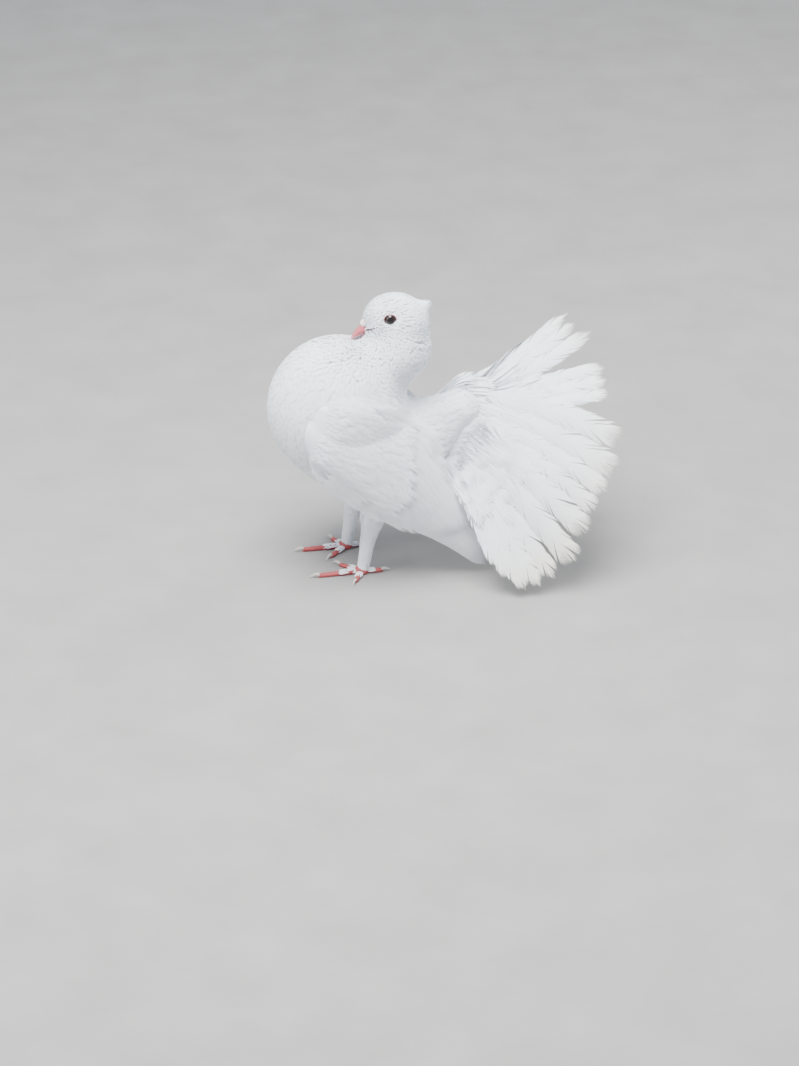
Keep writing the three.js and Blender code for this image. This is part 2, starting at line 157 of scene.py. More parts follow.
def to_limb(p, start, wide, end, narrow):
    """Distance to a limb: to the nearest point of its line, less the radius there."""
    start, along = np.array(start, float), np.array(end, float) - np.array(start, float)
    t = np.clip((p - start) @ along / (along @ along), 0, 1)
    return np.linalg.norm(p - start - t[..., None] * along, axis=-1) - mix(wide, narrow, t)


def melt(a, b, width):
    """Smaller of two distances, rounded where they differ by less than width."""
    overlap = np.maximum(width - np.abs(a - b), 0) / width
    return np.minimum(a, b) - overlap**2 * width / 4


def to_coat(p):
    """Distance to the coat's surface over head, neck and trunk: all masses melted together."""
    distance = to_ellipsoid(p, *BREAST[:2])
    for mass in BODY[1:]:
        one = to_ellipsoid(p, *mass[:2]) if len(mass) == 3 else to_limb(p, *mass[:4])
        distance = melt(distance, one, mass[-1])
    return distance


def to_legs(p):
    """Distance to the coat's surface over both legs: three limbs on each side."""
    distance = np.full(p.shape[:-1], 1e3)
    for side, word in ((1, "left"), (-1, "right")):
        line = [(x * side, y + STEP_BACK[word], z) for x, y, z in LEG_LINE]
        for k in range(3):
            one = to_limb(p, line[k], LEG_RADII[k], line[k + 1], LEG_RADII[k + 1])
            distance = melt(distance, one, 2.0)
    return distance


def to_outside(p):
    """Distance to the whole coat: the body with the legs melted on."""
    return melt(to_coat(p), to_legs(p), 9.0)


def coat_depth(p):
    """Thickness of the coat: thin on the face and the shanks, thick on the body."""
    from_face = np.linalg.norm(p - np.array([0, 26, 200.0]), axis=-1)
    return mix(0.9, 2.6, smooth(from_face, 16, 46)) * mix(0.3, 1, smooth(p[..., 2], 12, 62))


def to_skin(p):
    """Distance to the skin: the coat's surface let down by the depth of the coat."""
    return to_outside(p) + coat_depth(p)


def slope_of(field, p, step=0.4):
    """Direction in which a field grows, from its differences along the three axes."""
    slope = np.empty(p.shape)
    for k in range(3):
        ahead = np.zeros(3)
        ahead[k] = step
        slope[..., k] = field(p + ahead) - field(p - ahead)
    return slope / (2 * step)


def settle(field, p, level, rounds=3):
    """Points moved along the slope of a field until it has the wanted value there."""
    for _ in range(rounds):
        slope = slope_of(field, p)
        steep = np.maximum((slope**2).sum(-1), 0.05)
        p = p - ((field(p) - level) / steep)[..., None] * slope
    return p


def level_surface(field, lowest, highest, cell):
    """Closed surface where a field is zero: one point in each cell that the surface crosses,
    four of them joined around each crossed grid line, then evened out and settled."""
    axes = [np.arange(lowest[k], highest[k], cell) for k in range(3)]
    grid = np.stack(np.meshgrid(*axes, indexing="ij"), -1)
    inside = field(grid) < 0
    corners = sum(
        inside[i:inside.shape[0] - 1 + i, j:inside.shape[1] - 1 + j, k:inside.shape[2] - 1 + k].astype(int)
        for i in (0, 1) for j in (0, 1) for k in (0, 1)
    )
    crossed = (corners > 0) & (corners < 8)
    number = np.full(crossed.shape, -1)
    number[crossed] = np.arange(crossed.sum())
    points = grid[:-1, :-1, :-1][crossed] + cell / 2
    quads = []
    for axis in range(3):
        order = (axis, (axis + 1) % 3, (axis + 2) % 3)
        within, cells = inside.transpose(order), number.transpose(order)
        first, second = within[:-1, 1:-1, 1:-1], within[1:, 1:-1, 1:-1]
        around = np.stack([cells[:, :-1, :-1], cells[:, 1:, :-1], cells[:, 1:, 1:], cells[:, :-1, 1:]], -1)
        quads.append(around[first & ~second])
        quads.append(around[~first & second][:, ::-1])
    quads = np.concatenate(quads)
    for _ in range(3):
        points = settle(field, points, 0, 2)
        total, count = np.zeros(points.shape), np.zeros(len(points))
        for k in range(4):
            np.add.at(total, quads[:, k], points[quads[:, (k + 1) % 4]] + points[quads[:, k - 1]])
            np.add.at(count, quads[:, k], 2)
        points = mix(points, total / count[:, None], 0.6)
    points = settle(field, points, 0, 3)
    return points, np.concatenate([quads[:, [0, 1, 2]], quads[:, [0, 2, 3]]])


def make_piece(name, points, faces, material, slot, nodes, uv=None, normals=None):
    """A mesh from whole arrays of points in millimetres and of triangles. Given normals shade a
    coat's small pieces with the lie of the surface under them, which keeps it soft."""
    mesh = bpy.data.meshes.new(name)
    mesh.vertices.add(len(points))
    mesh.vertices.foreach_set("co", ((points + SHIFT) * MM).astype(np.float32).ravel())
    mesh.loops.add(faces.size)
    mesh.loops.foreach_set("vertex_index", faces.astype(np.int32).ravel())
    mesh.polygons.add(len(faces))
    mesh.polygons.foreach_set("loop_start", np.arange(0, faces.size, 3, dtype=np.int32))
    mesh.polygons.foreach_set("use_smooth", np.ones(len(faces), bool))
    mesh.update(calc_edges=True)
    if uv is not None:
        layer = mesh.uv_layers.new(name="OFBake")
        layer.data.foreach_set("uv", uv[faces.ravel()].astype(np.float32).ravel())
    if normals is not None:
        a, b, c = (points[faces[:, k]] for k in range(3))
        facing = np.cross(b - a, c - a)[:, None]
        corners = unit(normals)[faces]
        corners = corners * np.where((corners * facing).sum(-1, keepdims=True) < 0, -1, 1)
        mesh.normals_split_custom_set(corners.reshape(-1, 3).astype(np.float32))
    mesh.materials.append(material)
    piece = bpy.data.objects.new(name, mesh)
    bpy.context.scene.collection.objects.link(piece)
    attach(piece, "root")
    if nodes:
        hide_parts(*nodes)


def ring_faces(rings, around):
    """Triangles of a tube of rings, each ring's points in one run, closed by a point at each end."""
    k = np.arange(around)
    after = (k + 1) % around
    faces = []
    for ring in range(rings - 1):
        a, b = ring * around, (ring + 1) * around
        faces.append(np.stack([a + k, a + after, b + after], -1))
        faces.append(np.stack([a + k, b + after, b + k], -1))
    start, end, last = rings * around, rings * around + 1, (rings - 1) * around
    faces.append(np.stack([np.full(around, start), after, k], -1))
    faces.append(np.stack([np.full(around, end), last + k, last + after], -1))
    return np.concatenate(faces)


def many(points, faces):
    """Copies of one small shape: points of shape (copies, points, 3) share the same faces."""
    count, each = points.shape[:2]
    offsets = np.arange(count)[:, None, None] * each
    return points.reshape(-1, 3), (faces[None] + offsets).reshape(-1, 3)


def joined(parts):
    """Several meshes as one: points, faces, and whatever else goes with each point."""
    firsts = np.cumsum([0] + [len(part[0]) for part in parts])
    faces = np.concatenate([part[1] + first for part, first in zip(parts, firsts)])
    points, _, *others = zip(*parts)
    return np.concatenate(points), faces, *(np.concatenate(other) for other in others)


def outward(points, faces):
    """The faces, turned round if they enclose a negative volume."""
    a, b, c = (points[faces[:, k]] for k in range(3))
    volume = (np.cross(a, b) * c).sum()
    return faces if volume > 0 else faces[:, ::-1]


# Materials

def nodes_of(name):
    """A new material with its shader, the place on the object, and a helper that adds a node and
    sets or links its sockets: by name with underscores for spaces, or by number after one."""
    material = bpy.data.materials.new(name)
    material.use_nodes = True
    tree = material.node_tree
    shader = tree.nodes["Principled BSDF"]
    place = tree.nodes.new("ShaderNodeTexCoord")

    def add(kind, **inputs):
        node = tree.nodes.new(kind)
        for key, value in inputs.items():
            socket = node.inputs[int(key[1:]) if key[1:].isdigit() else key.replace("_", " ")]
            if isinstance(value, bpy.types.NodeSocket):
                tree.links.new(value, socket)
            else:
                socket.default_value = value
        return node

    return material, tree, shader, place.outputs["Object"], add


def set_sockets(shader, **values):
    """Values that are the same all over, on the shader's own sockets."""
    for name, value in values.items():
        shader.inputs[name.replace("_", " ")].default_value = value


def noise(add, place, size_mm, detail=2.0):
    """Noise over the object, with features of about the given size."""
    node = add("ShaderNodeTexNoise", Vector=place, Scale=1000 / size_mm, Detail=detail, Roughness=0.55)
    return node.outputs["Fac"]


def ramp(tree, add, value, stops):
    """A ramp of colours: pairs of a place from 0 to 1 and a colour."""
    node = add("ShaderNodeValToRGB", Fac=value)
    while len(node.color_ramp.elements) < len(stops):
        node.color_ramp.elements.new(0.5)
    for element, (position, colour) in zip(node.color_ramp.elements, stops):
        element.position = position
        element.color = (*colour, 1)
    return node.outputs["Color"]


def blend_colours(add, factor, a, b):
    """Colour a with a share of colour b."""
    node = add("ShaderNodeMix")
    node.data_type = "RGBA"
    tree = node.id_data
    for socket, value in ((node.inputs[0], factor), (node.inputs[6], a), (node.inputs[7], b)):
        if isinstance(value, bpy.types.NodeSocket):
            tree.links.new(value, socket)
        else:
            socket.default_value = (*value, 1) if isinstance(value, tuple) else value
    return node.outputs[2]


def roughen(tree, add, shader, height, distance_mm, strength=0.5):
    """Bump from a height."""
    bump = add("ShaderNodeBump", Height=height, Distance=distance_mm * MM, Strength=strength)
    tree.links.new(bump.outputs["Normal"], shader.inputs["Normal"])


def plumage(name, light, shade, cream=0.0):
    """White feathers: soft patches of cooler white, fine mottling, and cream where they are worn."""
    material, tree, shader, place, add = nodes_of(name)
    patches = ramp(tree, add, noise(add, place, 26), ((0.34, shade), (0.62, light)))
    mottling = ramp(tree, add, noise(add, place, 3.2, 3), ((0.3, shade), (0.7, light)))
    mottled = blend_colours(add, 0.25, patches, mottling)
    if cream:
        centre = tuple((FAN_ROOT + SHIFT) * MM)
        away = add("ShaderNodeVectorMath", _0=place, _1=centre)
        away.operation = "DISTANCE"
        worn = add("ShaderNodeMapRange", Value=away.outputs["Value"], To_Max=cream)
        worn.inputs["From Min"].default_value = WORN_FROM * MM
        worn.inputs["From Max"].default_value = WORN_FULL * MM
        patch = add("ShaderNodeMath", _0=worn.outputs[0], _1=noise(add, place, 14))
        patch.operation = "MULTIPLY"
        mottled = blend_colours(add, patch.outputs[0], mottled, (0.80, 0.72, 0.56))
    tree.links.new(mottled, shader.inputs["Base Color"])
    rough = add("ShaderNodeMapRange", Value=noise(add, place, 8), To_Min=0.62, To_Max=0.85)
    tree.links.new(rough.outputs[0], shader.inputs["Roughness"])
    set_sockets(
        shader, Sheen_Weight=0.25, Sheen_Roughness=0.5, Subsurface_Weight=0.12,
        Subsurface_Radius=(0.003, 0.003, 0.0032), Subsurface_Scale=0.5,
    )
    roughen(tree, add, shader, noise(add, place, 0.9, 3), 0.25, 0.35)
    return material


def toe_skin():
    """Coral red scaly skin, deeper between the scales and paler on their edges."""
    material, tree, shader, place, add = nodes_of("toe_skin")
    cells = add("ShaderNodeTexVoronoi", Vector=place, Scale=900)
    reds = ((0.1, (0.42, 0.035, 0.045)), (0.7, (0.25, 0.014, 0.02)))
    scales = ramp(tree, add, cells.outputs["Distance"], reds)
    patchy = blend_colours(add, noise(add, place, 5), scales, (0.52, 0.12, 0.12))
    tree.links.new(patchy, shader.inputs["Base Color"])
    set_sockets(shader, Roughness=0.55, Subsurface_Weight=0.15, Subsurface_Radius=(0.004, 0.001, 0.001))
    roughen(tree, add, shader, cells.outputs["Distance"], 0.3, -0.6)
    return material


def bill_horn():
    """Pinkish horn: redder at the base, paler and clearer towards the tip, faintly streaked."""
    material, tree, shader, place, add = nodes_of("bill_horn")
    split = add("ShaderNodeSeparateXYZ", Vector=place)
    along = add("ShaderNodeMapRange", Value=split.outputs["Y"])
    along.inputs["From Min"].default_value = (BILL_TIP[1] + SHIFT[1]) * MM
    along.inputs["From Max"].default_value = (BILL_BASE[1] + SHIFT[1]) * MM
    tint = ramp(tree, add, along.outputs[0], (
        (0.0, (0.55, 0.24, 0.25)), (0.35, (0.44, 0.075, 0.10)), (1.0, (0.46, 0.10, 0.12)),
    ))
    streaked = blend_colours(add, noise(add, place, 1.6, 3), tint, (0.52, 0.15, 0.17))
    tree.links.new(streaked, shader.inputs["Base Color"])
    set_sockets(
        shader, Roughness=0.38, Subsurface_Weight=0.2, Subsurface_Radius=(0.004, 0.0015, 0.0015),
        Coat_Weight=0.15,
    )
    roughen(tree, add, shader, noise(add, place, 1.1, 3), 0.15, 0.4)
    return material


def soft_flesh(name, light, deep, grain_mm, roughness):
    """Bare skin: two close tints over a fine wrinkled grain."""
    material, tree, shader, place, add = nodes_of(name)
    tint = ramp(tree, add, noise(add, place, grain_mm * 3, 3), ((0.35, deep), (0.65, light)))
    tree.links.new(tint, shader.inputs["Base Color"])
    set_sockets(
        shader, Roughness=roughness, Subsurface_Weight=0.2, Subsurface_Radius=(0.003, 0.0012, 0.001),
    )
    roughen(tree, add, shader, noise(add, place, grain_mm, 3), 0.2, 0.5)
    return material


def claw_horn():
    """Pale grey-brown horn with faint growth lines."""
    material, tree, shader, place, add = nodes_of("claw_horn")
    lines = add("ShaderNodeTexWave", Vector=place, Scale=700, Distortion=3)
    tint = ramp(tree, add, lines.outputs["Fac"], ((0.2, (0.50, 0.44, 0.40)), (0.8, (0.66, 0.60, 0.55))))
    tree.links.new(tint, shader.inputs["Base Color"])
    set_sockets(shader, Roughness=0.42)
    roughen(tree, add, shader, lines.outputs["Fac"], 0.08, 0.4)
    return material


def eye_surface(name, side):
    """Wet bull eye: a black pupil, a very dark brown iris with fine spokes, and a dark rim."""
    material, tree, shader, place, add = nodes_of(name)
    axis = unit(EYE_AXIS * (side, 1, 1))
    front = tuple((EYE * (side, 1, 1) + axis * EYE_RADIUS + SHIFT) * MM)
    away = add("ShaderNodeVectorMath", _0=place, _1=front)
    away.operation = "DISTANCE"
    ring = add("ShaderNodeMapRange", Value=away.outputs["Value"])
    ring.inputs["From Max"].default_value = 0.0046
    tint = ramp(tree, add, ring.outputs[0], (
        (0.0, (0.004, 0.003, 0.004)), (0.50, (0.005, 0.004, 0.005)), (0.60, (0.05, 0.018, 0.012)),
        (0.85, (0.035, 0.012, 0.010)), (1.0, (0.012, 0.006, 0.006)),
    ))
    spokes = blend_colours(add, noise(add, place, 0.35, 3), tint, (0.008, 0.004, 0.004))
    tree.links.new(spokes, shader.inputs["Base Color"])
    set_sockets(shader, Roughness=0.12, Specular_IOR_Level=0.35, Coat_Weight=0.35, Coat_Roughness=0.04)
    return material


def pale_floor():
    """Plain pale floor with the faintest grain."""
    material, tree, shader, place, add = nodes_of("pale_floor")
    tint = ramp(tree, add, noise(add, place, 60, 4), ((0.3, (0.29, 0.28, 0.27)), (0.7, (0.33, 0.32, 0.31))))
    tree.links.new(tint, shader.inputs["Base Color"])
    set_sockets(shader, Roughness=0.9)
    return material


SMALL_FEATHERS = plumage("small_feathers", (0.93, 0.95, 0.97), (0.80, 0.84, 0.90))
LARGE_FEATHERS = plumage("large_feathers", (0.91, 0.94, 0.96), (0.80, 0.84, 0.89))
FAN_FEATHERS = plumage("fan_feathers", (0.91, 0.94, 0.96), (0.80, 0.84, 0.89), cream=1.0)
DOWN = plumage("down", (0.86, 0.89, 0.93), (0.74, 0.79, 0.86))
TOE_SKIN = toe_skin()
BILL_HORN = bill_horn()
CERE_FLESH = soft_flesh("cere_flesh", (0.86, 0.72, 0.69), (0.78, 0.56, 0.54), 0.5, 0.7)
LID_MARGIN = soft_flesh("lid_margin", (0.10, 0.035, 0.045), (0.04, 0.015, 0.02), 0.35, 0.5)
LID_FLESH = soft_flesh("lid_flesh", (0.80, 0.66, 0.65), (0.70, 0.50, 0.50), 0.35, 0.55)
# Painted shade: dark flesh that stands for the shadow in the gape line and in the nostril slits
SLIT_SHADE = soft_flesh("painted_slit_shade", (0.13, 0.075, 0.08), (0.07, 0.04, 0.045), 0.4, 0.6)
CLAW_HORN = claw_horn()


# Skin

SKIN_LOWEST = (-56, -70, 2)
SKIN_HIGHEST = (56, 108, 224)
SKIN_CELL = 1.7
SKIN_NODES = ["head", "neck", "trunk", "leg_left", "leg_right"]
skin_points, skin_faces = level_surface(to_skin, SKIN_LOWEST, SKIN_HIGHEST, SKIN_CELL)
skin_faces = outward(skin_points, skin_faces)
make_piece("skin", skin_points, skin_faces, DOWN, "plumage", SKIN_NODES)


# Lie of the coat: a place, the direction there and its reach; places at the left are mirrored
LIE = (
    ((0, 13, 206), (0, 0.35, 1), 9), ((0, 33, 219), (0, 1, 0.1), 12),
    ((0, 52, 209), (0, 1, 0.75), 8), ((0, 62, 194), (0, 0.5, 0.9), 7),
    ((13, 50, 192), (-0.3, 0.8, 0.2), 8), ((15, 20, 198), (0.1, 0.9, -0.05), 7),
    ((16, 32, 193), (0, 0.8, -0.6), 9), ((7, 18, 186), (0.5, -0.1, -0.9), 8),
    ((22, 8, 172), (0.2, -0.3, -1), 14), ((22, 42, 170), (0, 0.2, -1), 14),
    ((0, 60, 170), (0, 0.15, -1), 9), ((8, 2, 186), (0, -1, -0.2), 14),
    ((0, -30, 180), (0, -1, -0.5), 18), ((0, -58, 145), (0, -0.15, -1), 22),
    ((0, -52, 110), (0, 0.3, -1), 22), ((0, -25, 80), (0, 0.9, -0.5), 22),
    ((34, -30, 150), (0.15, -0.3, -1), 20), ((44, -12, 130), (0, 0.45, -0.9), 22),
    ((42, 15, 100), (0, 0.9, -0.45), 24), ((0, 15, 60), (0, 1, 0), 24),
    ((30, 30, 140), (0, 0.9, -0.35), 18), ((0, 46, 138), (0, 0.5, -0.85), 9),
    ((0, 62, 130), (0, 1, 0.05), 16), ((0, 86, 130), (0, 1, 0.15), 18),
    ((0, 80, 84), (0, 1, 0.1), 22), ((22, 12, 50), (0, 0.15, -1), 16),
    ((22, 8, 20), (0, 0.05, -1), 16),
)


def lie_of(p, normal):
    """Direction in which the coat lies: the set directions, each weighed by one over the cube of
    one plus the squared distance over the squared reach, and the sum laid flat on the surface."""
    total = np.zeros(p.shape)
    for place, way, reach in LIE:
        for side in (1, -1) if place[0] else (1,):
            away = ((p - np.array(place) * (side, 1, 1)) ** 2).sum(-1)
            weight = 1 / (1 + away / reach**2) ** 3
            total += weight[..., None] * unit(np.array(way, float) * (side, 1, 1))
    flat = total - (total * normal).sum(-1, keepdims=True) * normal
    return unit(flat)


def scattered(points, faces, density):
    """Random places on a surface, evenly by area, with a number of them for each square mm."""
    a, b, c = (points[faces[:, k]] for k in range(3))
    area = np.linalg.norm(np.cross(b - a, c - a), axis=-1) / 2
    chosen = rng.choice(len(faces), int(area.sum() * density), p=area / area.sum())
    r = np.sqrt(rng.random(len(chosen)))[:, None]
    t = rng.random(len(chosen))[:, None]
    return a[chosen] * (1 - r) + b[chosen] * r * (1 - t) + c[chosen] * r * t


def spaced(points, spacing):
    """Points kept one by one where no kept point is nearer than the spacing there."""
    cell = spacing.max()
    keys = np.floor(points / cell).astype(int)
    taken = {}
    kept = []
    near = [(i, j, k) for i in (-1, 0, 1) for j in (-1, 0, 1) for k in (-1, 0, 1)]
    coordinates, reach = points.tolist(), (spacing**2).tolist()
    for n, key in enumerate(map(tuple, keys.tolist())):
        x, y, z = coordinates[n]
        free = all(
            (x - q[0]) ** 2 + (y - q[1]) ** 2 + (z - q[2]) ** 2 >= reach[n]
            for i, j, k in near
            for q in taken.get((key[0] + i, key[1] + j, key[2] + k), ())
        )
        if free:
            taken.setdefault(key, []).append((x, y, z))
            kept.append(n)
    return np.array(kept)


VANE_STATIONS = np.array([0, 0.25, 0.5, 0.75, 1.0])
VANE_WIDTHS = np.array([0.3, 0.82, 1.0, 0.86])


def vanes(line, normal, half_width, fingers, uv_root):
    """Small feathers. Each is a thin diamond section carried along its line, widest at the middle,
    with edges let down, and a tip of tapering fingers that fan out like loose barbs.
    line and normal have shape (feathers, 5, 3)."""
    count = len(line)
    tangent = unit(np.gradient(line, axis=1))
    roll = rng.normal(0, 0.04, (count, 1, 1))
    across = unit(np.cross(tangent, normal))
    side = across * np.cos(roll) + normal * np.sin(roll)
    up = np.cross(side, tangent)
    width = half_width[:, None, None] * VANE_WIDTHS[None, :, None]
    body = line[:, :4]
    drop = up[:, :4] * width * 0.07
    thick = 0.05 + 0.018 * half_width[:, None, None]
    rings = np.stack([
        body + side[:, :4] * width - drop, body - up[:, :4] * thick,
        body - side[:, :4] * width - drop, body + up[:, :4] * thick,
    ], 2)
    length = np.linalg.norm(line[:, 4] - line[:, 3], axis=-1)[:, None]
    end = mix(line[:, 3], line[:, 4], 0.6)
    body_points = np.concatenate([rings.reshape(count, 16, 3), body[:, :1], end[:, None]], 1)
    body_faces = ring_faces(4, 4)
    above, soft = up[:, :4], 0.30 * side[:, :4]
    ring_normals = np.stack([above + soft, above, above - soft, above], 2).reshape(count, 16, 3)
    body_normals = np.concatenate([ring_normals, up[:, :1], up[:, 4:]], 1)

    def on_line(values, s):
        """Values at a share s of the way along each line."""
        x = np.clip(s * 4, 0, 3.999)
        k = int(x)
        return mix(values[:, k], values[:, k + 1], x - k)

    parts = [(*many(body_points, body_faces), tuft_uv(uv_root, 18), body_normals.reshape(-1, 3))]
    total = length[:, 0] * 4
    for k in range(fingers):
        a = 2 * (k + 0.5) / fingers - 1
        base_at = 0.84 - 0.5 * a * a
        w = half_width * np.interp(base_at, VANE_STATIONS[:4], VANE_WIDTHS)
        s_up, s_side, s_way = on_line(up, base_at), on_line(side, base_at), on_line(tangent, base_at)
        sideways = s_side * (0.86 * a * w)[:, None]
        centre = on_line(line, base_at) + sideways - s_up * (0.14 * w * a * a)[:, None]
        reach = (1.14 - 0.34 * a * a) - base_at + rng.normal(0, 0.045, count)
        spread = (0.30 * a + rng.normal(0, 0.07, count)) * half_width
        tip = centre + s_way * (reach * total)[:, None] + s_side * spread[:, None]
        turn = on_line(tangent, 1.0) - s_way
        tip = tip + turn * (reach * total * 0.5)[:, None] - s_up * (0.05 * half_width)[:, None]
        half = (1.45 * half_width / fingers)[:, None]
        points = np.stack([
            centre + s_side * half, centre - s_side * half,
            centre + s_up * (thick[:, 0] + 0.01) + s_way * 0.1, tip,
        ], 1)
        lean = (0.30 * s_side[:, None] * np.array([1, -1, 0, 0])[None, :, None]) + 0.25 * a * s_side[:, None]
        mesh = many(points, np.array([[0, 2, 1], [0, 1, 3], [1, 2, 3], [2, 0, 3]]))
        parts.append((*mesh, tuft_uv(uv_root, 4), (s_up[:, None] + lean).reshape(-1, 3)))
    return joined(parts)


TUFT_PATCH = 0.003


def tuft_uv(roots, count):
    """Places for the points of each tuft: a spiral inside a small patch at its root's place."""
    turn = np.arange(count) * 2.4
    reach = TUFT_PATCH / 2 * np.sqrt((np.arange(count) + 0.5) / count)
    patch = np.stack([reach * np.cos(turn), reach * np.sin(turn)], -1)
    return (roots.reshape(-1, 1, 2) + patch).reshape(-1, 2)


def globe_map(p, centre):
    """Unwrap of the skin: turn and tilt of the direction from a middle point, from 0 to 1."""
    way = unit(p - np.array(centre, float))
    turn = np.arctan2(way[..., 0], way[..., 2]) / (2 * math.pi) + 0.5
    tilt = np.arccos(np.clip(-way[..., 1], -1, 1)) / math.pi
    return np.stack([mix(0.02, 0.98, turn), mix(0.02, 0.98, tilt)], -1)


def march(roots, length, stand, turn):
    """Lines of small feathers: five stations that step along the lie of the coat and rise from
    the skin to a little above the coat's surface."""
    p = roots.copy()
    normal = unit(slope_of(to_outside, p))
    start = to_outside(p)
    line, normals = [], []
    for k, s in enumerate(VANE_STATIONS):
        if k:
            way = lie_of(p, normal)
            way = way * np.cos(turn)[:, None] + np.cross(normal, way) * np.sin(turn)[:, None]
            p = p + way * (length / 4)[:, None]
            p = settle(to_outside, p, mix(start, stand, 1 - (1 - s) ** 2.4), 2)
            normal = unit(slope_of(to_outside, p))
        line.append(p)
        normals.append(normal)
    return np.stack(line, 1), np.stack(normals, 1)


def small_sizes(p):
    """Spacing, length and half width of the small feathers at a place: smallest on the face and
    the feet, longer down the neck, longest over the breast, the back and the belly."""
    from_face = np.linalg.norm(p - np.array([0, 22, 198.0]), axis=-1)
    body = smooth(from_face, 14, 72)
    leg = 1 - smooth(p[:, 2], 14, 64)
    spacing = mix(mix(1.15, 2.45, body), 1.35, leg)
    length = mix(mix(3.0, 12.5, body), 4.6, leg)
    half = mix(mix(0.95, 3.1, body), 1.15, leg)
    return spacing, length, half


# Trial roots for each square mm, and how far roots and feathers keep from the eyeball
ROOT_DENSITY = 1.5
ROOT_FROM_EYE = 0.55
LINE_FROM_EYE = 0.95


def coat():
    """Small feathers over the whole skin, in pieces by region: longer on the crest and the rump,
    a little raised at the nape, and none over the eye, the bill and the toes."""
    roots = scattered(skin_points, skin_faces, ROOT_DENSITY)
    eye_side = np.abs(roots) * (1, 0, 0) + roots * (0, 1, 1)
    clear_of_eye = np.linalg.norm(eye_side - EYE, axis=-1) > EYE_RADIUS + ROOT_FROM_EYE
    bill_way = unit(BILL_TIP - BILL_BASE)
    along = (roots - BILL_BASE) @ bill_way
    off_bill = np.linalg.norm(roots - BILL_BASE - along[:, None] * bill_way, axis=-1)
    clear_of_bill = (off_bill > 4.5) | (along < -6) | (along > 16)
    clear_of_foot = roots[:, 2] > 6
    roots = roots[clear_of_eye & clear_of_bill & clear_of_foot]
    spacing, length, half = small_sizes(roots)
    kept = spaced(roots, spacing)
    roots, length, half = roots[kept], length[kept], half[kept]
    length = length * rng.uniform(0.85, 1.15, len(roots))
    crest = smooth(-np.linalg.norm(roots - np.array([0, 54, 206.0]), axis=-1), -12, -4)
    rump = smooth(roots[:, 1], 52, 80) * smooth(roots[:, 2], 78, 96)
    length = length * (1 + 0.9 * crest) * (1 + 1.3 * rump)
    half = half * (1 + 0.4 * rump)
    nape = np.exp(-(((roots[:, 1] - 62) / 8) ** 2 + ((roots[:, 2] - 182) / 12) ** 2))
    loose = rng.uniform(0.0, 1.6, len(roots))
    stand = 0.04 * half * loose + 0.8 * crest + 0.7 * nape * (loose > 1.25)
    line, normal = march(roots, length, stand, rng.normal(0, 0.08, len(roots)))
    from_eye = np.linalg.norm(np.abs(line) * (1, 0, 0) + line * (0, 1, 1) - EYE, axis=-1).min(1)
    open_eye = from_eye > EYE_RADIUS + LINE_FROM_EYE
    roots, half, line, normal = roots[open_eye], half[open_eye], line[open_eye], normal[open_eye]
    x, y, z = roots.T
    head = (z > 178 + 0.27 * (40 - y)) & (y > 8)
    neck = ~head & (y * 0.79 + z * 0.613 > 43 * 0.79 + 125 * 0.613) & (z > 130)
    leg = ~head & ~neck & (z < 62) & (np.abs(x) > 6) & (np.abs(y - 10) < 17)
    breast = ~head & ~neck & ~leg & (y < 0)
    back = ~head & ~neck & ~leg & ~breast & (z > 108)
    belly = ~head & ~neck & ~leg & ~breast & ~back
    regions = {"head": head, "neck": neck, "breast": breast, "back": back, "belly": belly, "leg": leg}
    nodes = {"head": ["head"], "neck": ["neck"], "breast": ["trunk"], "back": ["trunk"], "belly": ["trunk"]}
    for word, where in regions.items():
        for side, part in (("left", x >= 0), ("right", x < 0)):
            chosen = where & part
            centre = (0, 37, 197) if word == "head" else (0, 25, 120)
            uv = globe_map(roots[chosen], centre)
            fingers = 5 if word in ("head", "leg") else 9
            points, faces, uvs, normals = vanes(line[chosen], normal[chosen], half[chosen], fingers, uv)
            name, replaced = f"coat_{word}_{side}", nodes.get(word, [f"leg_{side}"])
            make_piece(name, points, faces, SMALL_FEATHERS, "plumage", replaced, uvs, normals)


# Large feathers: random numbers in the table, barbs in a bundle, how strongly a bundle clings
# together, and how far barbs curve to the tip and droop, as shares of their length
TABLE_SIZE = 8192
BUNDLE = 7.3
CLING = 0.16
BARB_CURVE = 0.16
BARB_DROOP = 0.05


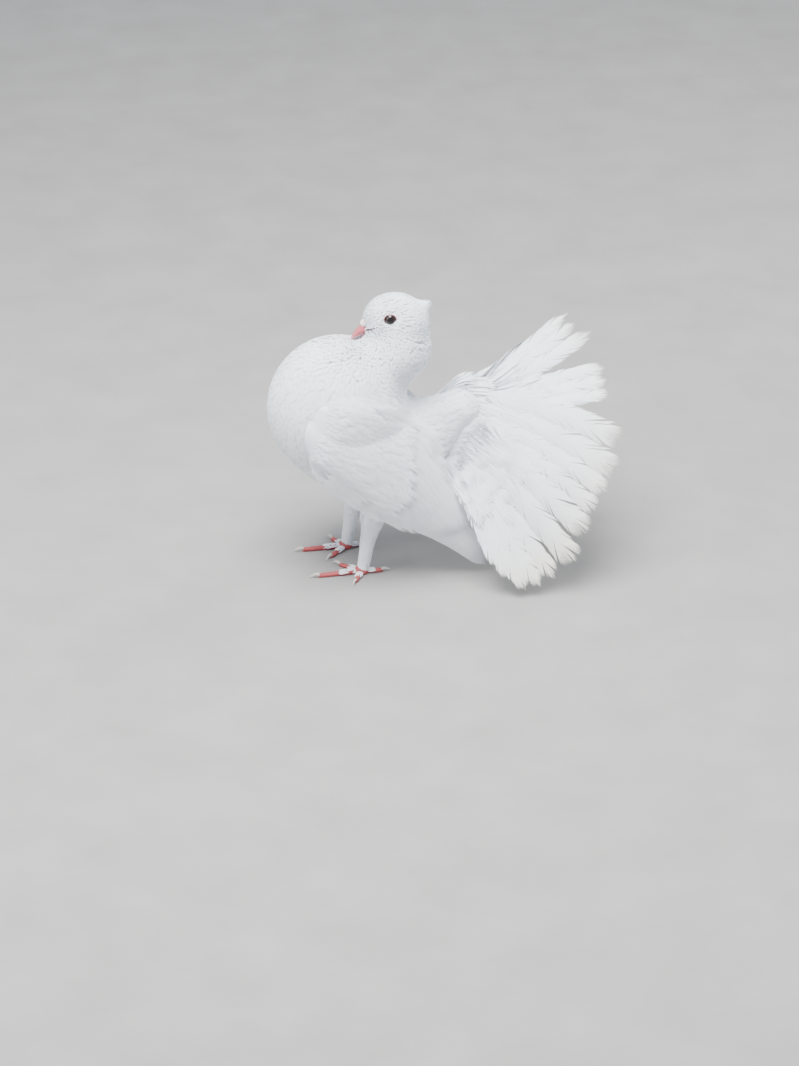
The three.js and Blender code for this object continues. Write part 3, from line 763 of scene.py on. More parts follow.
def barbed(line, normal, half_left, half_right, barbs, uv_line, fray=1.0, quill=0.9, angle=42.0, start=0.05):
    """Large feathers. Along each line barbs leave the shaft at an angle on both sides, curve
    towards the tip, cling together in bundles and part between them; each barb is a thin diamond
    section that tapers to a point. The shaft is a tapering four-sided rod.
    line and normal have shape (feathers, stations, 3), uv_line (feathers, stations, 2)."""
    count, stations = line.shape[:2]
    length = np.linalg.norm(np.diff(line, axis=1), axis=-1).sum(1)
    tangent = unit(np.gradient(line, axis=1))
    s = np.linspace(start, 1, barbs)
    x = np.clip(s * (stations - 1), 0, stations - 1.001)
    k = x.astype(int)
    t = (x - k)[None, :, None]

    def sample(values):
        """Values at the root of each barb."""
        return mix(values[:, k], values[:, k + 1], t)

    root, way, up, uv = sample(line), unit(sample(tangent)), unit(sample(normal)), sample(uv_line)
    out = unit(np.cross(way, up))
    up = np.cross(out, way)
    table = rng.random(TABLE_SIZE)
    index = np.arange(barbs)[None, :]
    feather = np.arange(count)[:, None]
    parts = []
    spacing = (length * (1 - start) / barbs)[:, None]
    for side, half in ((1, half_left), (-1, half_right)):
        phase = table[(feather * 37 + (side + 1) * 11) % TABLE_SIZE] * 40
        grouped = index / BUNDLE + 0.45 * np.sin(index * 0.23 + phase) + phase
        group = np.floor(grouped).astype(int)
        within = grouped - group - 0.5
        pick = (feather * 131 + (side + 1) * 977 + group * 17) % TABLE_SIZE
        random_length, random_turn, random_lift = (table[(pick + n) % TABLE_SIZE] for n in range(3))
        own = table[(feather * 211 + index * 7 + side + 1) % TABLE_SIZE]
        tipward = smooth(s, 0.86, 1.0)[None, :]
        lean = np.radians(angle - 6 * s[None, :] - (angle - 12) * tipward + fray * 6 * (random_turn - 0.5))
        reach = half[:, None] / math.sin(math.radians(angle)) * smooth(s, start - 0.03, 0.20)[None, :] ** 0.5
        reach = reach * mix(1.0, 0.55, smooth(s, 0.88, 1.0) ** 1.2)[None, :]
        reach = reach * (1 - fray * (0.10 * random_length * (0.35 + tipward) + 0.04 * own))
        barb_way = way * np.cos(lean)[..., None] + out * (side * np.sin(lean))[..., None]
        cling = -within * spacing * BUNDLE * CLING * fray * (0.4 + tipward)
        lift = (random_lift - 0.5) * 0.5 * fray
        flat = unit(np.cross(up, barb_way))
        half_barb = spacing * np.sin(lean) * 0.66

        def on_barb(share):
            """The middle of each barb at a share of its length."""
            curve = (reach * share**2 * BARB_CURVE)[..., None]
            p = root + barb_way * (reach * share)[..., None] + way * curve - out * side * curve * 0.35
            rise = lift * share**2 - BARB_DROOP * reach * share**2
            return p + way * (cling * share**2)[..., None] + up * rise[..., None]

        rings, ring_normals = [], []
        for share, girth in ((0.0, 1.0), (0.42, 1.0), (0.78, 0.82)):
            p = on_barb(share)
            thick = 0.17 - 0.07 * share
            broad = flat * (half_barb * girth)[..., None]
            rings.append(np.stack([p + broad, p + up * thick, p - broad, p - up * thick], 2))
            shade = up + out * (side * 0.38 * share)
            ring_normals.append(np.stack([shade + flat * 0.35, shade, shade - flat * 0.35, shade], 2))
        tip = on_barb(1.0)
        points = np.concatenate([*rings, root[:, :, None], tip[:, :, None]], 2).reshape(-1, 14, 3)
        mesh = many(points, outward_sample(points[0], ring_faces(3, 4)))
        tip_normal = (up + out * (side * 0.40))[:, :, None]
        normals = np.concatenate([*ring_normals, up[:, :, None], tip_normal], 2).reshape(-1, 3)
        parts.append((*mesh, tuft_uv(uv + np.array([0.0016 * side, 0]), 14), normals))
    shaft_out = unit(np.cross(tangent, normal))
    girth = (quill * np.linspace(1, 0.2, stations))[None, :, None]
    rings = np.stack([
        line + shaft_out * girth, line + normal * girth * 0.9,
        line - shaft_out * girth, line - normal * girth * 0.7,
    ], 2).reshape(count, -1, 3)
    points = np.concatenate([rings, line[:, :1], line[:, -1:] + tangent[:, -1:] * 0.5], 1)
    mesh = many(points, outward_sample(points[0], ring_faces(stations, 4)))
    shaft_uv = np.concatenate([np.repeat(uv_line, 4, 1), uv_line[:, :1], uv_line[:, -1:]], 1)
    bend = shaft_out * 0.8
    normals = np.stack([normal + bend, normal, normal - bend, normal], 2).reshape(count, -1, 3)
    normals = np.concatenate([normals, normal[:, :1], normal[:, -1:]], 1)
    parts.append((*mesh, shaft_uv.reshape(-1, 2), normals.reshape(-1, 3)))
    return joined(parts)


def outward_sample(points, faces):
    """The faces of one small shape, turned to face out of it."""
    middle = points.mean(0)
    return outward(points - middle, faces)


def rail(points, t):
    """A smooth curve through points, at even shares t from the first to the last: cubics whose
    tangents weigh the spans by the square root of their lengths."""
    points = np.array(points, float)
    before, after = 2 * points[0] - points[1], 2 * points[-1] - points[-2]
    padded = np.concatenate([[before], points, [after]])
    x = np.clip(np.asarray(t, float), 0, 1) * (len(points) - 1)
    k = np.minimum(x.astype(int), len(points) - 2)
    w = (x - k)[..., None]
    p0, p1, p2, p3 = (padded[k + n] for n in range(4))
    spans = ((p0, p1), (p1, p2), (p2, p3))
    d0, d1, d2 = (np.sqrt(np.linalg.norm(b - a, axis=-1, keepdims=True)) for a, b in spans)
    m1 = ((p1 - p0) / d0 - (p2 - p0) / (d0 + d1) + (p2 - p1) / d1) * d1
    m2 = ((p2 - p1) / d1 - (p3 - p1) / (d1 + d2) + (p3 - p2) / d2) * d1
    return p1 + m1 * w + (3 * (p2 - p1) - 2 * m1 - m2) * w**2 + (2 * (p1 - p2) + m1 + m2) * w**3


def wing_middle(u, v):
    """Middle of the folded wing's blade for the left side: a parabola across the three rails,
    pushed out of the coat by the wing's lift."""
    lower, middle, upper = rail(WING_LOWER, u), rail(WING_MIDDLE, u), rail(WING_UPPER, u)
    bend = 2 * middle - (lower + upper) / 2
    t = v[..., None]
    p = lower * (1 - t) ** 2 + 2 * bend * t * (1 - t) + upper * t**2
    for _ in range(8):
        distance = to_coat(p)
        short = np.maximum(WING_LIFT - distance, 0)
        p = p + unit(slope_of(to_coat, p)) * short[..., None]
    return p


WING_GRID = 81
wing_u, wing_v = np.meshgrid(np.linspace(0, 1, WING_GRID), np.linspace(0, 1, WING_GRID), indexing="ij")
wing_points = wing_middle(wing_u, wing_v)
wing_normals = unit(np.cross(np.gradient(wing_points, axis=1), np.gradient(wing_points, axis=0)))
if wing_normals[WING_GRID // 2, WING_GRID // 2, 0] < 0:
    wing_normals = -wing_normals


def on_wing(u, v, layer):
    """Point and normal on the wing's grid, by weighing the four nearest points; past the far ends
    the last cell goes straight on. The layer is the height over the blade's middle."""
    x, y = np.asarray(u) * (WING_GRID - 1), np.asarray(v) * (WING_GRID - 1)
    i = np.clip(x.astype(int), 0, WING_GRID - 2)
    j = np.clip(y.astype(int), 0, WING_GRID - 2)
    a, b = (x - i)[..., None], (y - j)[..., None]

    def weigh(values):
        """Values between the four nearest points of the grid."""
        return mix(mix(values[i, j], values[i + 1, j], a), mix(values[i, j + 1], values[i + 1, j + 1], a), b)

    normal = unit(weigh(wing_normals))
    return weigh(wing_points) + normal * np.asarray(layer)[..., None], normal


def edge_fade(u, v):
    """How far the wing's surface is let down to the body near its front, lower and upper edges."""
    front = 1 - smooth(u, 0.0, 0.24)
    lower = (1 - smooth(v, -0.02, 0.22)) * (1 - smooth(u, 0.35, 0.6))
    upper = (1 - smooth(1.02 - v, 0.0, 0.16)) * (1 - smooth(u, 0.45, 0.7))
    return np.maximum.reduce([front, lower, upper])


# Long feathers of the wing: how many; where the first and the last have their roots along and
# across the wing, and their tips; their layers at root and tip; the power that spaces the tips;
# stations, half widths at both sides, barbs, fray and quill
FLIGHTS = {
    "wing_primaries": (
        10, (0.36, 0.44), (0.10, 0.32), (0.985, 0.955), (0.10, 0.62), (-1.8, 0.0), (-1.8, 1.0),
        1, 14, 6.5, 5.0, 110, 0.8, 0.8,
    ),
    "wing_secondaries": (
        12, (0.30, 0.42), (0.06, 0.78), (0.60, 0.84), (0.02, 0.66), (0.0, 1.6), (0.2, 2.6),
        0.8, 12, 8.0, 8.0, 90, 0.7, 0.7,
    ),
    "wing_tertials": (
        5, (0.34, 0.36), (0.72, 0.97), (0.74, 0.66), (0.70, 0.94), (2.0, 2.4), (2.2, 2.8),
        1, 12, 8.5, 8.5, 80, 0.8, 0.6,
    ),
    "wing_greater_coverts": (
        15, (0.22, 0.30), (0.02, 0.96), (0.42, 0.56), (0.0, 0.92), (1.0, 2.6), (1.8, 3.4),
        1, 8, 6.5, 6.5, 46, 0.5, 0.4,
    ),
}


def wing_flights(u0, v0, u1, v1, layer0, layer1, stations):
    """Lines of long wing feathers, from root (u0, v0) to tip (u1, v1) over the wing's surface."""
    s = np.linspace(0, 1, stations)[None, :]
    u = u0[:, None] * (1 - s) + u1[:, None] * s
    v = v0[:, None] * (1 - s) + v1[:, None] * s
    line, normal = on_wing(u, v, layer0[:, None] * (1 - s) + layer1[:, None] * s)
    uv = np.stack([on_map(u), on_map(v)], -1)
    return line, normal, uv


# Shares of the wing along and across that the arm's skin takes up
ARM_ALONG = (0.04, 0.62)
ARM_ACROSS = (0.05, 0.95)


def wing(word, side):
    """One folded wing: the arm's skin, flights in three sets, greater coverts and small coverts."""
    mirror = np.array([side, 1, 1])

    def put(name, mesh, material):
        """A mesh of the left wing as a piece of this one, mirrored for the right."""
        points, faces, uv, *normals = mesh
        points = points * mirror
        faces = faces if side > 0 else faces[:, ::-1]
        shade = normals[0] * mirror if normals else None
        make_piece(f"{name}_{word}", points, faces, material, "plumage", [f"wing_{word}"], uv, shade)

    u, v = np.meshgrid(np.linspace(*ARM_ALONG, 40), np.linspace(*ARM_ACROSS, 24), indexing="ij")
    edge = np.minimum.reduce([u - ARM_ALONG[0], ARM_ALONG[1] - u, v - ARM_ACROSS[0], ARM_ACROSS[1] - v])
    half = 0.3 + 1.3 * np.sqrt(np.clip(edge / 0.12, 0, 1))
    sunk = 6.0 * edge_fade(u, v)
    top, _ = on_wing(u, v, half - sunk)
    under, _ = on_wing(u, v, -half - sunk)
    grid = np.arange(u.size).reshape(u.shape)
    a, b, c, d = grid[:-1, :-1].ravel(), grid[1:, :-1].ravel(), grid[1:, 1:].ravel(), grid[:-1, 1:].ravel()
    upper = np.concatenate([np.stack([a, b, c], -1), np.stack([a, c, d], -1)])
    rim = np.concatenate([grid[:-1, 0], grid[-1, :-1], grid[:0:-1, -1], grid[0, :0:-1]])
    after = np.roll(rim, -1)
    walls = np.concatenate([
        np.stack([rim, rim + u.size, after], -1), np.stack([after, rim + u.size, after + u.size], -1),
    ])
    points = np.concatenate([top.reshape(-1, 3), under.reshape(-1, 3)])
    faces = outward(points - points.mean(0), np.concatenate([upper, upper[:, ::-1] + u.size, walls]))
    uv = np.concatenate([np.stack([u, v], -1).reshape(-1, 2)] * 2)
    put("wing_arm", (points, faces, uv), DOWN)

    for name, (count, *ends, power, stations, half_left, half_right, barbs, fray, quill) in FLIGHTS.items():
        t = np.linspace(0, 1, count)
        places = [mix(*pair, t**power if n == 2 else t) for n, pair in enumerate(ends)]
        line, normal, uv = wing_flights(*places, stations)
        wide = np.full(count, half_left), np.full(count, half_right)
        put(name, barbed(line, normal, *wide, barbs, uv, fray=fray, quill=quill), LARGE_FEATHERS)

    u, v = rng.uniform(-0.03, 0.46, 9000), rng.uniform(-0.04, 1.04, 9000)
    keep = (u > 0.08) & (u < 0.46 - 0.10 * np.abs(v - 0.45))
    u, v = u[keep], v[keep]
    places, _ = on_wing(u, v, np.zeros(len(u)))
    growth = smooth(u, 0.0, 0.42)
    kept = spaced(places, mix(2.0, 3.2, growth))
    u, v, growth = u[kept], v[kept], growth[kept]
    length = mix(0.050, 0.105, growth) * rng.uniform(0.9, 1.1, len(u))
    s = VANE_STATIONS[None, :]
    drift = rng.normal(0.0, 0.010, (len(u), 1)) - 0.012
    uu = u[:, None] + s * length[:, None]
    vv = v[:, None] + s * drift
    height = mix(0.2, 1.9, 1 - (1 - s) ** 2.4) + rng.uniform(0.0, 0.25, (len(u), 1))
    height = height + 1.6 * growth[:, None] - 7.4 * edge_fade(uu, vv)
    line, normal = on_wing(uu, vv, height)
    half = mix(2.3, 4.4, growth) * rng.uniform(0.9, 1.1, len(u))
    uv = np.stack([on_map(u), on_map(v)], -1)
    put("wing_small_coverts", vanes(line, normal, half, 11, uv), SMALL_FEATHERS)


def fan_tip(t):
    """Rim of the fan: a smooth curve through the ends of its stations."""
    turns = np.radians([station[0] for station in FAN_STATIONS])
    rises = np.radians([station[1] for station in FAN_STATIONS])
    lengths = np.array([station[2] for station in FAN_STATIONS], float)
    level = np.cos(rises) * lengths
    ends = np.stack([np.sin(turns) * level, np.cos(turns) * level, np.sin(rises) * lengths], -1)
    return rail(ends + FAN_ROOT, t)


def on_fan(leaf, u, v, layer):
    """Point of a leaf of the fan: from the root line to the rim along u, across it along v,
    bowed outwards by the leaf's sag."""
    _, start, end, own_layer, sag, spread = FAN_LEAVES[leaf]
    middle = fan_tip(np.array((start + end) / 2))
    tip = fan_tip(mix(start, end, v))
    root = FAN_ROOT + (tip - middle) * spread
    reach = np.linalg.norm(tip - root, axis=-1)
    share = mix(QUILL_START / reach, 1.0, u)
    p = root + (tip - root) * share[..., None]
    out = unit(p - FAN_INSIDE)
    p = p + out * (sag * np.sin(math.pi * np.clip(u, 0, 1)) + own_layer + layer)[..., None]
    p[..., 2] = np.maximum(p[..., 2], FLOOR_CLEARANCE)
    return p


def fan_lines(leaf, v, u0, u1, layer, drift=0.0, stations=16):
    """Lines and normals of feathers on a leaf, at places v across it."""
    s = np.linspace(0, 1, stations)[None, :]
    u = np.asarray(u0)[:, None] * (1 - s) + np.asarray(u1)[:, None] * s
    across = v[:, None] + drift * s
    height = np.asarray(layer)[:, None] + 0 * s
    line = on_fan(leaf, u, across, height)
    beside = on_fan(leaf, u, across + 0.01, height)
    normal = unit(np.cross(unit(np.gradient(line, axis=1)), beside - line))
    out = line - FAN_INSIDE
    normal = np.where((normal * out).sum(-1, keepdims=True) < 0, -normal, normal)
    start, end = FAN_LEAVES[leaf][1:3]
    return line, normal, np.stack([on_map(mix(start, end, np.clip(across, 0, 1))), on_map(u)], -1)


def covert_lines(leaf, v, ends, lift, back, face, stations=9):
    """Lines of coverts at the fan's root: each starts on the body, a little ahead of where the
    leaf leaves it, and bends onto the leaf along a cubic through both directions."""
    u = np.linspace(-0.3, 0.6, 60)
    trial = on_fan(leaf, u[None, :] + 0 * v[:, None], v[:, None] + 0 * u[None, :], np.array(0.0))
    leaves = u[np.argmax(to_coat(trial) > -0.5, axis=1)]
    zero = np.zeros(len(v))
    exit_point = on_fan(leaf, leaves, v, zero + lift * 0.5)
    end = on_fan(leaf, leaves + ends, v, zero + lift)
    end_way = unit(end - on_fan(leaf, leaves + ends - 0.05, v, zero + lift))
    normal = unit(slope_of(to_coat, exit_point))
    start = settle(to_coat, exit_point - lie_of(exit_point, normal) * back, -0.9)
    start_way = lie_of(start, unit(slope_of(to_coat, start)))
    reach = np.linalg.norm(end - start, axis=-1)[:, None] * 0.9
    s = np.linspace(0, 1, stations)[None, :, None]
    line = (
        start[:, None] * (2 * s**3 - 3 * s**2 + 1) + (start_way * reach)[:, None] * (s**3 - 2 * s**2 + s)
        + end[:, None] * (3 * s**2 - 2 * s**3) + (end_way * reach)[:, None] * (s**3 - s**2)
    )
    line[..., 2] = np.maximum(line[..., 2], FLOOR_CLEARANCE)
    leaf_normal = fan_lines(leaf, v, leaves, leaves + ends, zero, 0, stations)[1] * face
    body_normal = unit(slope_of(to_coat, start))[:, None]
    normals = unit(mix(body_normal, leaf_normal, s))
    first, last = FAN_LEAVES[leaf][1:3]
    along = mix(0.03, 0.4, s[..., 0]) + 0 * v[:, None]
    across = on_map(mix(first, last, np.clip(v, 0, 1)))[:, None] + 0 * along
    return line, normals, np.stack([across, along], -1)


# Rows of coverts: reach along the leaf, lift off it, coverts for each feather, start ahead of it
COVERT_ROWS = ((0.40, 1.0, 1.5, 6), (0.27, 1.5, 2.0, 10), (0.16, 1.9, 2.4, 14))
COVERT_HALF_WIDTH = 6.5


def tail():
    """The fan: four leaves of long feathers, and coverts over and under their roots."""
    for leaf, (feathers, start, end, *_) in FAN_LEAVES.items():
        v = (np.arange(feathers) + 0.5) / feathers
        rim = fan_tip(np.linspace(start, end, feathers + 1))
        across = np.linalg.norm(np.diff(rim, axis=0), axis=-1)
        half = np.clip(across * 0.62, 9.0, 13.0)
        order = np.arange(feathers) - (feathers - 1) / 2
        layer = -0.4 * np.abs(order) if feathers < 4 else 0.45 * (order * (-1 if leaf == "left" else 1))
        worn = rng.uniform(0.93, 1.0, feathers)
        line, normal, uv = fan_lines(leaf, v, np.full(feathers, -0.12), 0.955 * worn, layer)
        mesh = barbed(line, normal, half, half, 150, uv, fray=1.5, quill=1.0, angle=38, start=0.12)
        make_piece(f"tail_{leaf}_feathers", *mesh[:2], FAN_FEATHERS, "plumage", [f"tail_{leaf}"], *mesh[2:])
        parts = []
        for reach, lift, number, back in COVERT_ROWS:
            count = int(feathers * number) + 3
            v = np.linspace(-0.06, 1.06, count) + rng.normal(0, 0.15 / count, count)
            ends = reach * rng.uniform(0.8, 1.2, count)
            for face in (1, -1):
                line, normal, uv = covert_lines(leaf, v, ends, lift * face, back, face)
                wide = np.full(count, COVERT_HALF_WIDTH)
                parts.append(barbed(line, normal, wide, wide, 24, uv, fray=1.0, quill=0.35))
        mesh = joined(parts)
        make_piece(f"tail_{leaf}_coverts", *mesh[:2], LARGE_FEATHERS, "plumage", [f"tail_{leaf}"], *mesh[2:])


def surface_of_turns(profile_rings, start, end):
    """A closed tube from rings of points of shape (rings, around, 3) and its two end points."""
    rings, around = profile_rings.shape[:2]
    points = np.concatenate([profile_rings.reshape(-1, 3), [start], [end]])
    return points, outward(points - points.mean(0), ring_faces(rings, around))


def eye(word, side):
    """Eyeball: a sphere with a slightly bulging clear front. Lids: a ring around the opening with
    a fine crease, an oval that is a little lower than wide."""
    centre, axis = EYE * (side, 1, 1), unit(EYE_AXIS * (side, 1, 1))
    along = unit(np.array([0, 1, 0]) - axis * axis[1])
    over = np.cross(axis, along)
    over = over * np.sign(over[2])
    tilt, turn = pole_to_pole(40), round_turns(56)[None, :]
    bulge = EYE_RADIUS * (1 + EYE_BULGE * np.exp(-((tilt / 0.5) ** 2)))
    sideways = np.cos(turn)[..., None] * along + np.sin(turn)[..., None] * over
    rings = centre + (bulge * np.cos(tilt))[..., None] * axis + (bulge * np.sin(tilt))[..., None] * sideways
    front, back = centre + axis * EYE_RADIUS * (1 + EYE_BULGE), centre - axis * EYE_RADIUS
    points, faces = surface_of_turns(rings, front, back)
    name = f"eye_{word}"
    make_piece(name, points, faces, eye_surface(name, side), "eye", [name])
    lid_ring(f"lid_margin_{word}", centre, axis, along, over, MARGIN_APART, 0.34, 0.0, LID_MARGIN)
    lid_ring(f"lids_{word}", centre, axis, along, over, 0.66, 0.50, -0.35, LID_FLESH)


def lid_ring(name, centre, axis, along, over, apart, girth, sink, material):
    """A ring of flesh around the oval opening of the eye, apart from its edge, with fine folds."""
    around, section = round_turns(72)[:, None], round_turns(16)[None, :]
    swell = girth * (1 + 0.14 * np.sin(around) + 0.06 * np.sin(around * 17))
    crease = 1 + 0.10 * np.cos(section * 3)
    spread = swell * crease * np.cos(section)
    rise = swell * crease * np.sin(section) * 0.85
    wide = (EYE_OPEN_WIDE + apart + spread)[..., None]
    tall = (EYE_OPEN_HIGH + apart + spread)[..., None]
    radial = np.cos(around)[..., None] * along * wide + np.sin(around)[..., None] * over * tall
    height = math.sqrt(EYE_RADIUS**2 - (EYE_OPEN_WIDE + MARGIN_APART) ** 2) + 0.5 + sink
    ring = centre + radial + axis * (height + rise)[..., None]
    a = np.arange(ring.size // 3).reshape(ring.shape[:2])
    b = np.roll(a, -1, 0)
    c, d = np.roll(b, -1, 1), np.roll(a, -1, 1)
    faces = np.concatenate([np.stack([a, b, c], -1).reshape(-1, 3), np.stack([a, c, d], -1).reshape(-1, 3)])
    points = ring.reshape(-1, 3)
    make_piece(name, points, outward(points - points.mean(0), faces), material, "cere_flesh", [])


def bill():
    """Both halves of the bill: half ovals along a line that droops at the end, and the upper half
    hooks over the lower. The cere is two low swellings over the base, with a slit nostril below."""
    forward = unit(BILL_TIP - BILL_BASE)
    up = np.array([0, forward[2], -forward[1]])
    up = up * np.sign(up[2])
    length = np.linalg.norm(BILL_TIP - BILL_BASE)
    across = np.array([1.0, 0, 0])
    t = np.linspace(0, 1, 40)[:, None]
    slim = np.sqrt(np.clip(1 - (0.985 * t) ** 1.9, 0, 1))
    for name, sign in (("bill_upper", 1), ("bill_lower", -1)):
        reach = length * mix(-0.30, 1.0 if sign > 0 else 0.90, t)
        droop = -1.5 * np.clip(t, 0, 1) ** 3.2 if sign > 0 else -0.15 * t**2
        middle = BILL_BASE + forward * reach[..., None] + up * (droop - 0.9)[..., None]
        turn = np.linspace(0, math.pi, 17)[None, :]
        deep = (BILL_DEEP * (0.56 if sign > 0 else 0.36)) * slim
        wide = BILL_WIDE / 2 * slim * (1.0 if sign > 0 else 0.9)
        arch = np.cos(turn) * wide
        vault = np.sin(turn) ** 0.9 * deep
        back = np.linspace(math.pi, 0, 9)[None, 1:-1]
        under_x = np.cos(back) * wide * 0.985
        under_z = 0.12 * wide * np.sin(back) + 0.08
        x = np.concatenate([arch, under_x], 1)
        z = np.concatenate([vault, under_z * np.ones_like(under_x)], 1) * sign
        lip = 0.12 if sign > 0 else -0.06
        rings = middle + across * x[..., None] + up * (z + lip)[..., None]
        points, faces = surface_of_turns(rings, rings[0].mean(0), rings[-1].mean(0) + forward * 0.25)
        make_piece(name, points, faces, BILL_HORN, "bill_horn", [name])

    tilt, turn = pole_to_pole(30), round_turns(40)[None, :]
    x = 4.0 * np.sin(tilt) * np.cos(turn)
    y = 3.8 * np.cos(tilt)
    z = 2.7 * np.sin(tilt) * np.sin(turn)
    groove = 0.9 * np.exp(-((x / 0.8) ** 2)) * (z > 0) * np.sin(tilt)
    lobes = 0.35 * np.exp(-((np.abs(x) - 2.0) / 1.1) ** 2) * (z > 0)
    z = z - groove + lobes
    rings = CERE + across * x[..., None] + forward * y[..., None] + up * z[..., None]
    points, faces = surface_of_turns(rings, rings[0].mean(0), rings[-1].mean(0))
    make_piece("cere", points, faces, CERE_FLESH, "cere_flesh", ["cere"])

    for word, side in (("left", 1), ("right", -1)):
        # Nostril slit: a thin dark tube of painted shade under the cere
        s = np.linspace(0, 1, 14)[:, None]
        girth = 0.42 * np.sin(math.pi * np.clip(s, 0.04, 0.96)) ** 0.6
        centre = CERE + up * (-1.9 + 0.6 * s)[..., None] + forward * mix(4.2, 0.4, s)[..., None]
        centre = centre + across * (side * mix(2.0, 3.75, s))[..., None]
        turn = round_turns(10)[None, :]
        rings = centre + up * (girth * np.cos(turn))[..., None]
        rings = rings + across * (girth * 0.6 * np.sin(turn))[..., None]
        points, faces = surface_of_turns(rings, rings[0].mean(0), rings[-1].mean(0))
        make_piece(f"nostril_{word}", points, faces, SLIT_SHADE, "cere_flesh", [])

        # Gape line: a thin dark tube of painted shade from the bill's corner towards the eye, where the
        # cleft of the mouth is shadowed
        s = np.linspace(0, 1, 22)[:, None]
        line = np.array([side * 3.9, 14.2, 193.7]) + s * np.array([side * 6.4, 8.0, 4.8])
        line = settle(to_skin, line, 0.75)
        normal = unit(slope_of(to_skin, line))
        way = unit(np.gradient(line, axis=0))
        over = np.cross(normal, way)
        girth = mix(0.9, 0.5, s) * np.sin(math.pi * np.clip(s, 0.03, 0.97)) ** 0.5
        rings = line[:, None] + over[:, None] * (girth * np.cos(turn))[..., None]
        rings = rings + normal[:, None] * (girth * 0.55 * np.sin(turn))[..., None]
        points, faces = surface_of_turns(rings, line[0], line[-1])
        make_piece(f"gape_{word}", points, faces, SLIT_SHADE, "cere_flesh", [])


def toe_line(centre, turn, side, start, end, count):
    """Points along a toe or claw on the ground, from start to end mm out of the foot's middle."""
    way = np.array([math.sin(math.radians(turn)) * side, -math.cos(math.radians(turn)), 0])
    return centre + way * np.linspace(start, end, count)[:, None], way


def ground_rings(line, beside, across, height):
    """Rings around a line on the ground: so far beside it and so high, and flat underneath."""
    rings = line[:, None] * (1, 1, 0) + beside * across[..., None]
    rings = rings + np.array([0, 0, 1]) * height[..., None]
    rings[..., 2] = np.maximum(rings[..., 2], 0)
    return rings


def foot(word, side):
    """Toes with scutes as low steps along their backs, swollen at the joints, flat underneath; a
    pad; curved claws; and small feathers over the roots of the toes."""
    centre = FOOT * (side, 1, 1) + (0, STEP_BACK[word], 0)
    parts = []
    for name, (turn, length, radius) in TOES.items():
        line, way = toe_line(centre, turn, side, 0, length, 90)
        beside = np.array([-way[1], way[0], 0])
        s = np.linspace(0, 1, 90)[:, None]
        section = round_turns(24)[None, :]
        joints = sum(0.10 * np.exp(-((s * length - length * q) / 2.2) ** 2) for q in (0.42, 0.78))
        taper = mix(1.0, 0.72, s) * np.sqrt(np.clip(1 - (np.clip(s - 0.93, 0, 1) / 0.075) ** 2, 0.05, 1))
        top = np.clip(np.sin(section), 0, 1) ** 0.5
        scutes = 0.055 * top * ((s * length / 1.9) % 1.0)
        pads = 0.05 * np.clip(-np.sin(section), 0, 1) * np.abs(np.sin(s * length / 1.5))
        girth = radius * taper * (1 + joints) * (1 + scutes + pads)
        height = radius * 0.80 * taper
        rise = height + girth * 0.86 * np.sin(section)
        rings = ground_rings(line, beside, girth * np.cos(section), rise)
        parts.append(surface_of_turns(rings, rings[0].mean(0), rings[-1].mean(0)))

        line, way = toe_line(centre, turn, side, length - 1.0, length + CLAW_LENGTH, 24)
        s = np.linspace(0, 1, 24)[:, None]
        section = round_turns(12)[None, :]
        girth = 1.35 * (1 - s**1.6) + 0.12
        height = 2.1 + 1.5 * np.sin(math.pi * s * 0.62) - 3.0 * s**2
        rise = np.maximum(height, 0.55) + girth * np.sin(section)
        rings = ground_rings(line, beside, girth * 0.8 * np.cos(section), rise)
        points, faces = surface_of_turns(rings, rings[0].mean(0), rings[-1].mean(0) + way * 0.2)
        claw = f"claw_{word}_{name}"
        make_piece(claw, points, faces, CLAW_HORN, "claw_horn", [claw])
    tilt, section = pole_to_pole(20), round_turns(28)[None, :]
    x, y = 5.2 * np.sin(tilt) * np.cos(section), 5.6 * np.sin(tilt) * np.sin(section)
    z = np.maximum(4.2 * np.cos(tilt) + 2.6 + 0 * section, 0)
    rings = centre * (1, 1, 0) + np.stack([x, y, z], -1)
    parts.append(surface_of_turns(rings, centre * (1, 1, 0) + (0, 0, 6.8), centre * (1, 1, 0)))
    make_piece(f"foot_{word}", *joined(parts), TOE_SKIN, "toe_skin", [f"foot_{word}"])

    roots, ways = [], []
    for turn, length, radius in TOES.values():
        s = rng.uniform(0.05, 0.42, TOE_TUFTS)
        around = rng.uniform(0.1, math.pi - 0.1, TOE_TUFTS)
        _, way = toe_line(centre, turn, side, 0, length, 2)
        beside = np.array([-way[1], way[0], 0])
        spot = centre * (1, 1, 0) + way * (s * length)[:, None] + beside * (radius * np.cos(around))[:, None]
        roots.append(spot + np.array([0, 0, 1]) * (radius * 0.8 + radius * 0.8 * np.sin(around))[:, None])
        ways.append(np.repeat(way[None], TOE_TUFTS, 0))
    roots, ways = np.concatenate(roots), np.concatenate(ways)
    out = unit(roots - centre * (1, 1, 0.3))
    s = VANE_STATIONS[None, :, None]
    rise = 0.35 * np.sin(math.pi * s) - 0.5 * s**2
    line = roots[:, None] + ways[:, None] * s * 4.2 + np.array([0, 0, 1]) * rise
    line[..., 2] = np.maximum(line[..., 2], 0.2)
    uv = np.stack([0.5 + (roots[:, 0] - centre[0]) / 60, 0.5 + (roots[:, 1] - centre[1]) / 60], -1)
    normal = np.repeat(unit(out + np.array([0, 0, 1.0]))[:, None], 5, 1)
    points, faces, uvs, normals = vanes(line, normal, np.full(len(roots), 0.8), 4, uv)
    make_piece(f"coat_toes_{word}", points, faces, SMALL_FEATHERS, "plumage", [], uvs, normals)


coat()
for word, side in (("left", 1), ("right", -1)):
    wing(word, side)
    eye(word, side)
    foot(word, side)
tail()
bill()


FLOOR_HALF = 3.0
AIM = np.array([0, 0, 0.1])
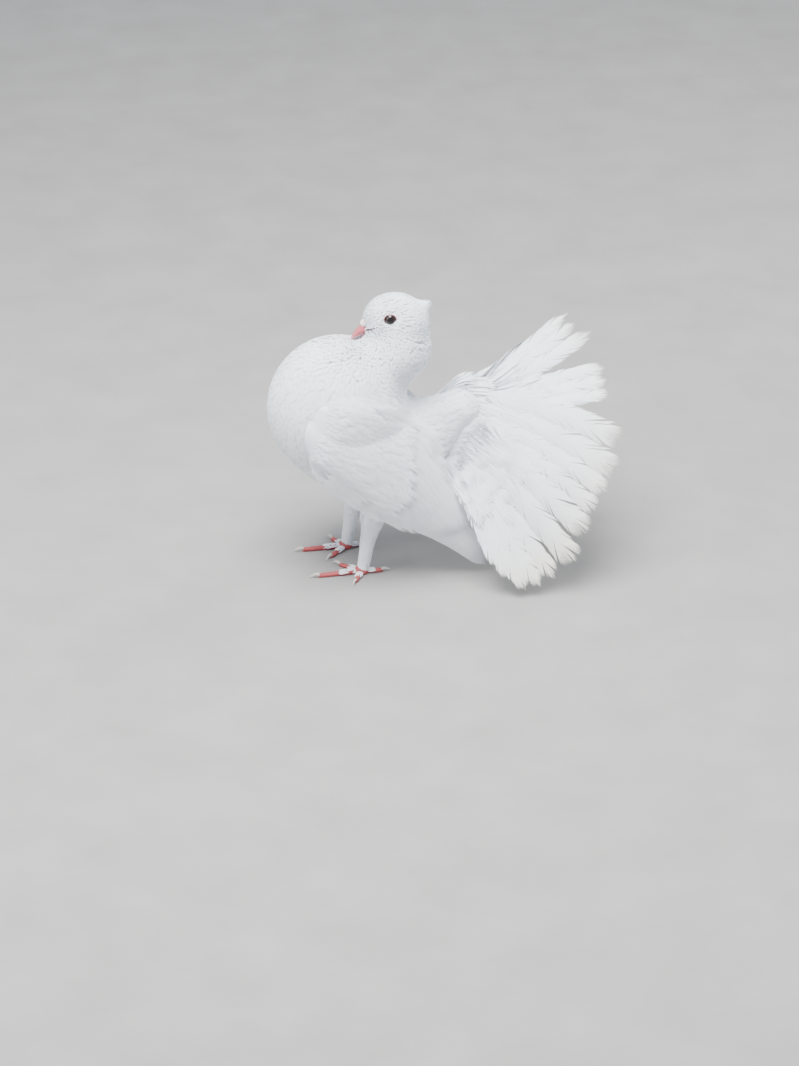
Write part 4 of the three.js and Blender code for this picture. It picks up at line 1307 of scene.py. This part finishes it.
# Soft round lights: name, place and width in metres, and power in watts
LIGHTS = (
    ("light_above", (0.35, -0.25, 1.5), 1.1, 75.0),
    ("light_front", (0.5, -1.4, 0.7), 1.0, 10.0),
    ("light_behind", (-0.6, 1.1, 1.1), 0.9, 14.0),
)
SURROUND_COLOUR = (0.80, 0.88, 1.0, 1)
SURROUND_STRENGTH = 0.85


def stage():
    """A large pale floor on which the bird stands, three soft lights and a pale surround."""
    corners = [(x * FLOOR_HALF, y * FLOOR_HALF, 0) for x, y in ((-1, -1), (1, -1), (1, 1), (-1, 1))]
    mesh = bpy.data.meshes.new("floor")
    mesh.from_pydata(corners, [], [(0, 1, 2, 3)])
    mesh.materials.append(pale_floor())
    floor = bpy.data.objects.new("floor", mesh)
    bpy.context.scene.collection.objects.link(floor)
    for name, place, width, watts in LIGHTS:
        lamp = bpy.data.lights.new(name, "AREA")
        lamp.shape = "DISK"
        lamp.size = width
        lamp.energy = watts
        light = bpy.data.objects.new(name, lamp)
        light.location = place
        light.rotation_euler = direction_to_turn(AIM - np.array(place))
        bpy.context.scene.collection.objects.link(light)
    world = bpy.data.worlds.new("surround")
    world.use_nodes = True
    background = world.node_tree.nodes["Background"]
    background.inputs["Color"].default_value = SURROUND_COLOUR
    background.inputs["Strength"].default_value = SURROUND_STRENGTH
    bpy.context.scene.world = world


def direction_to_turn(way):
    """Turn that points an object's -Z along a direction."""
    return Vector(way).to_track_quat("-Z", "Y").to_euler()


def camera():
    """The photo's view: from the bird's left side, a little ahead of it, and from above."""
    turn, tilt = math.radians(78), math.radians(27)
    distance, focus, sensor = 2.6, 3380.0, 36
    wide, tall = 799, 1066
    feet_x, feet_y = 348.5, 560.5
    right = np.array([math.cos(turn), math.sin(turn), 0])
    back = np.array([math.sin(turn) * math.cos(tilt), -math.cos(turn) * math.cos(tilt), math.sin(tilt)])
    up = np.cross(back, right)
    x = (feet_x - wide / 2) / focus * distance
    y = -(feet_y - tall / 2) / focus * distance
    place = np.array([SHIFT[0], SHIFT[1], 0]) * MM - (right * x + up * y - back * distance)
    lens = bpy.data.cameras.new("camera")
    lens.sensor_width = sensor
    lens.lens = focus / tall * sensor
    view = bpy.data.objects.new("camera", lens)
    view.matrix_world = Matrix([[right[k], up[k], back[k], place[k]] for k in range(3)] + [[0, 0, 0, 1]])
    bpy.context.scene.collection.objects.link(view)
    bpy.context.scene.camera = view


stage()
camera()
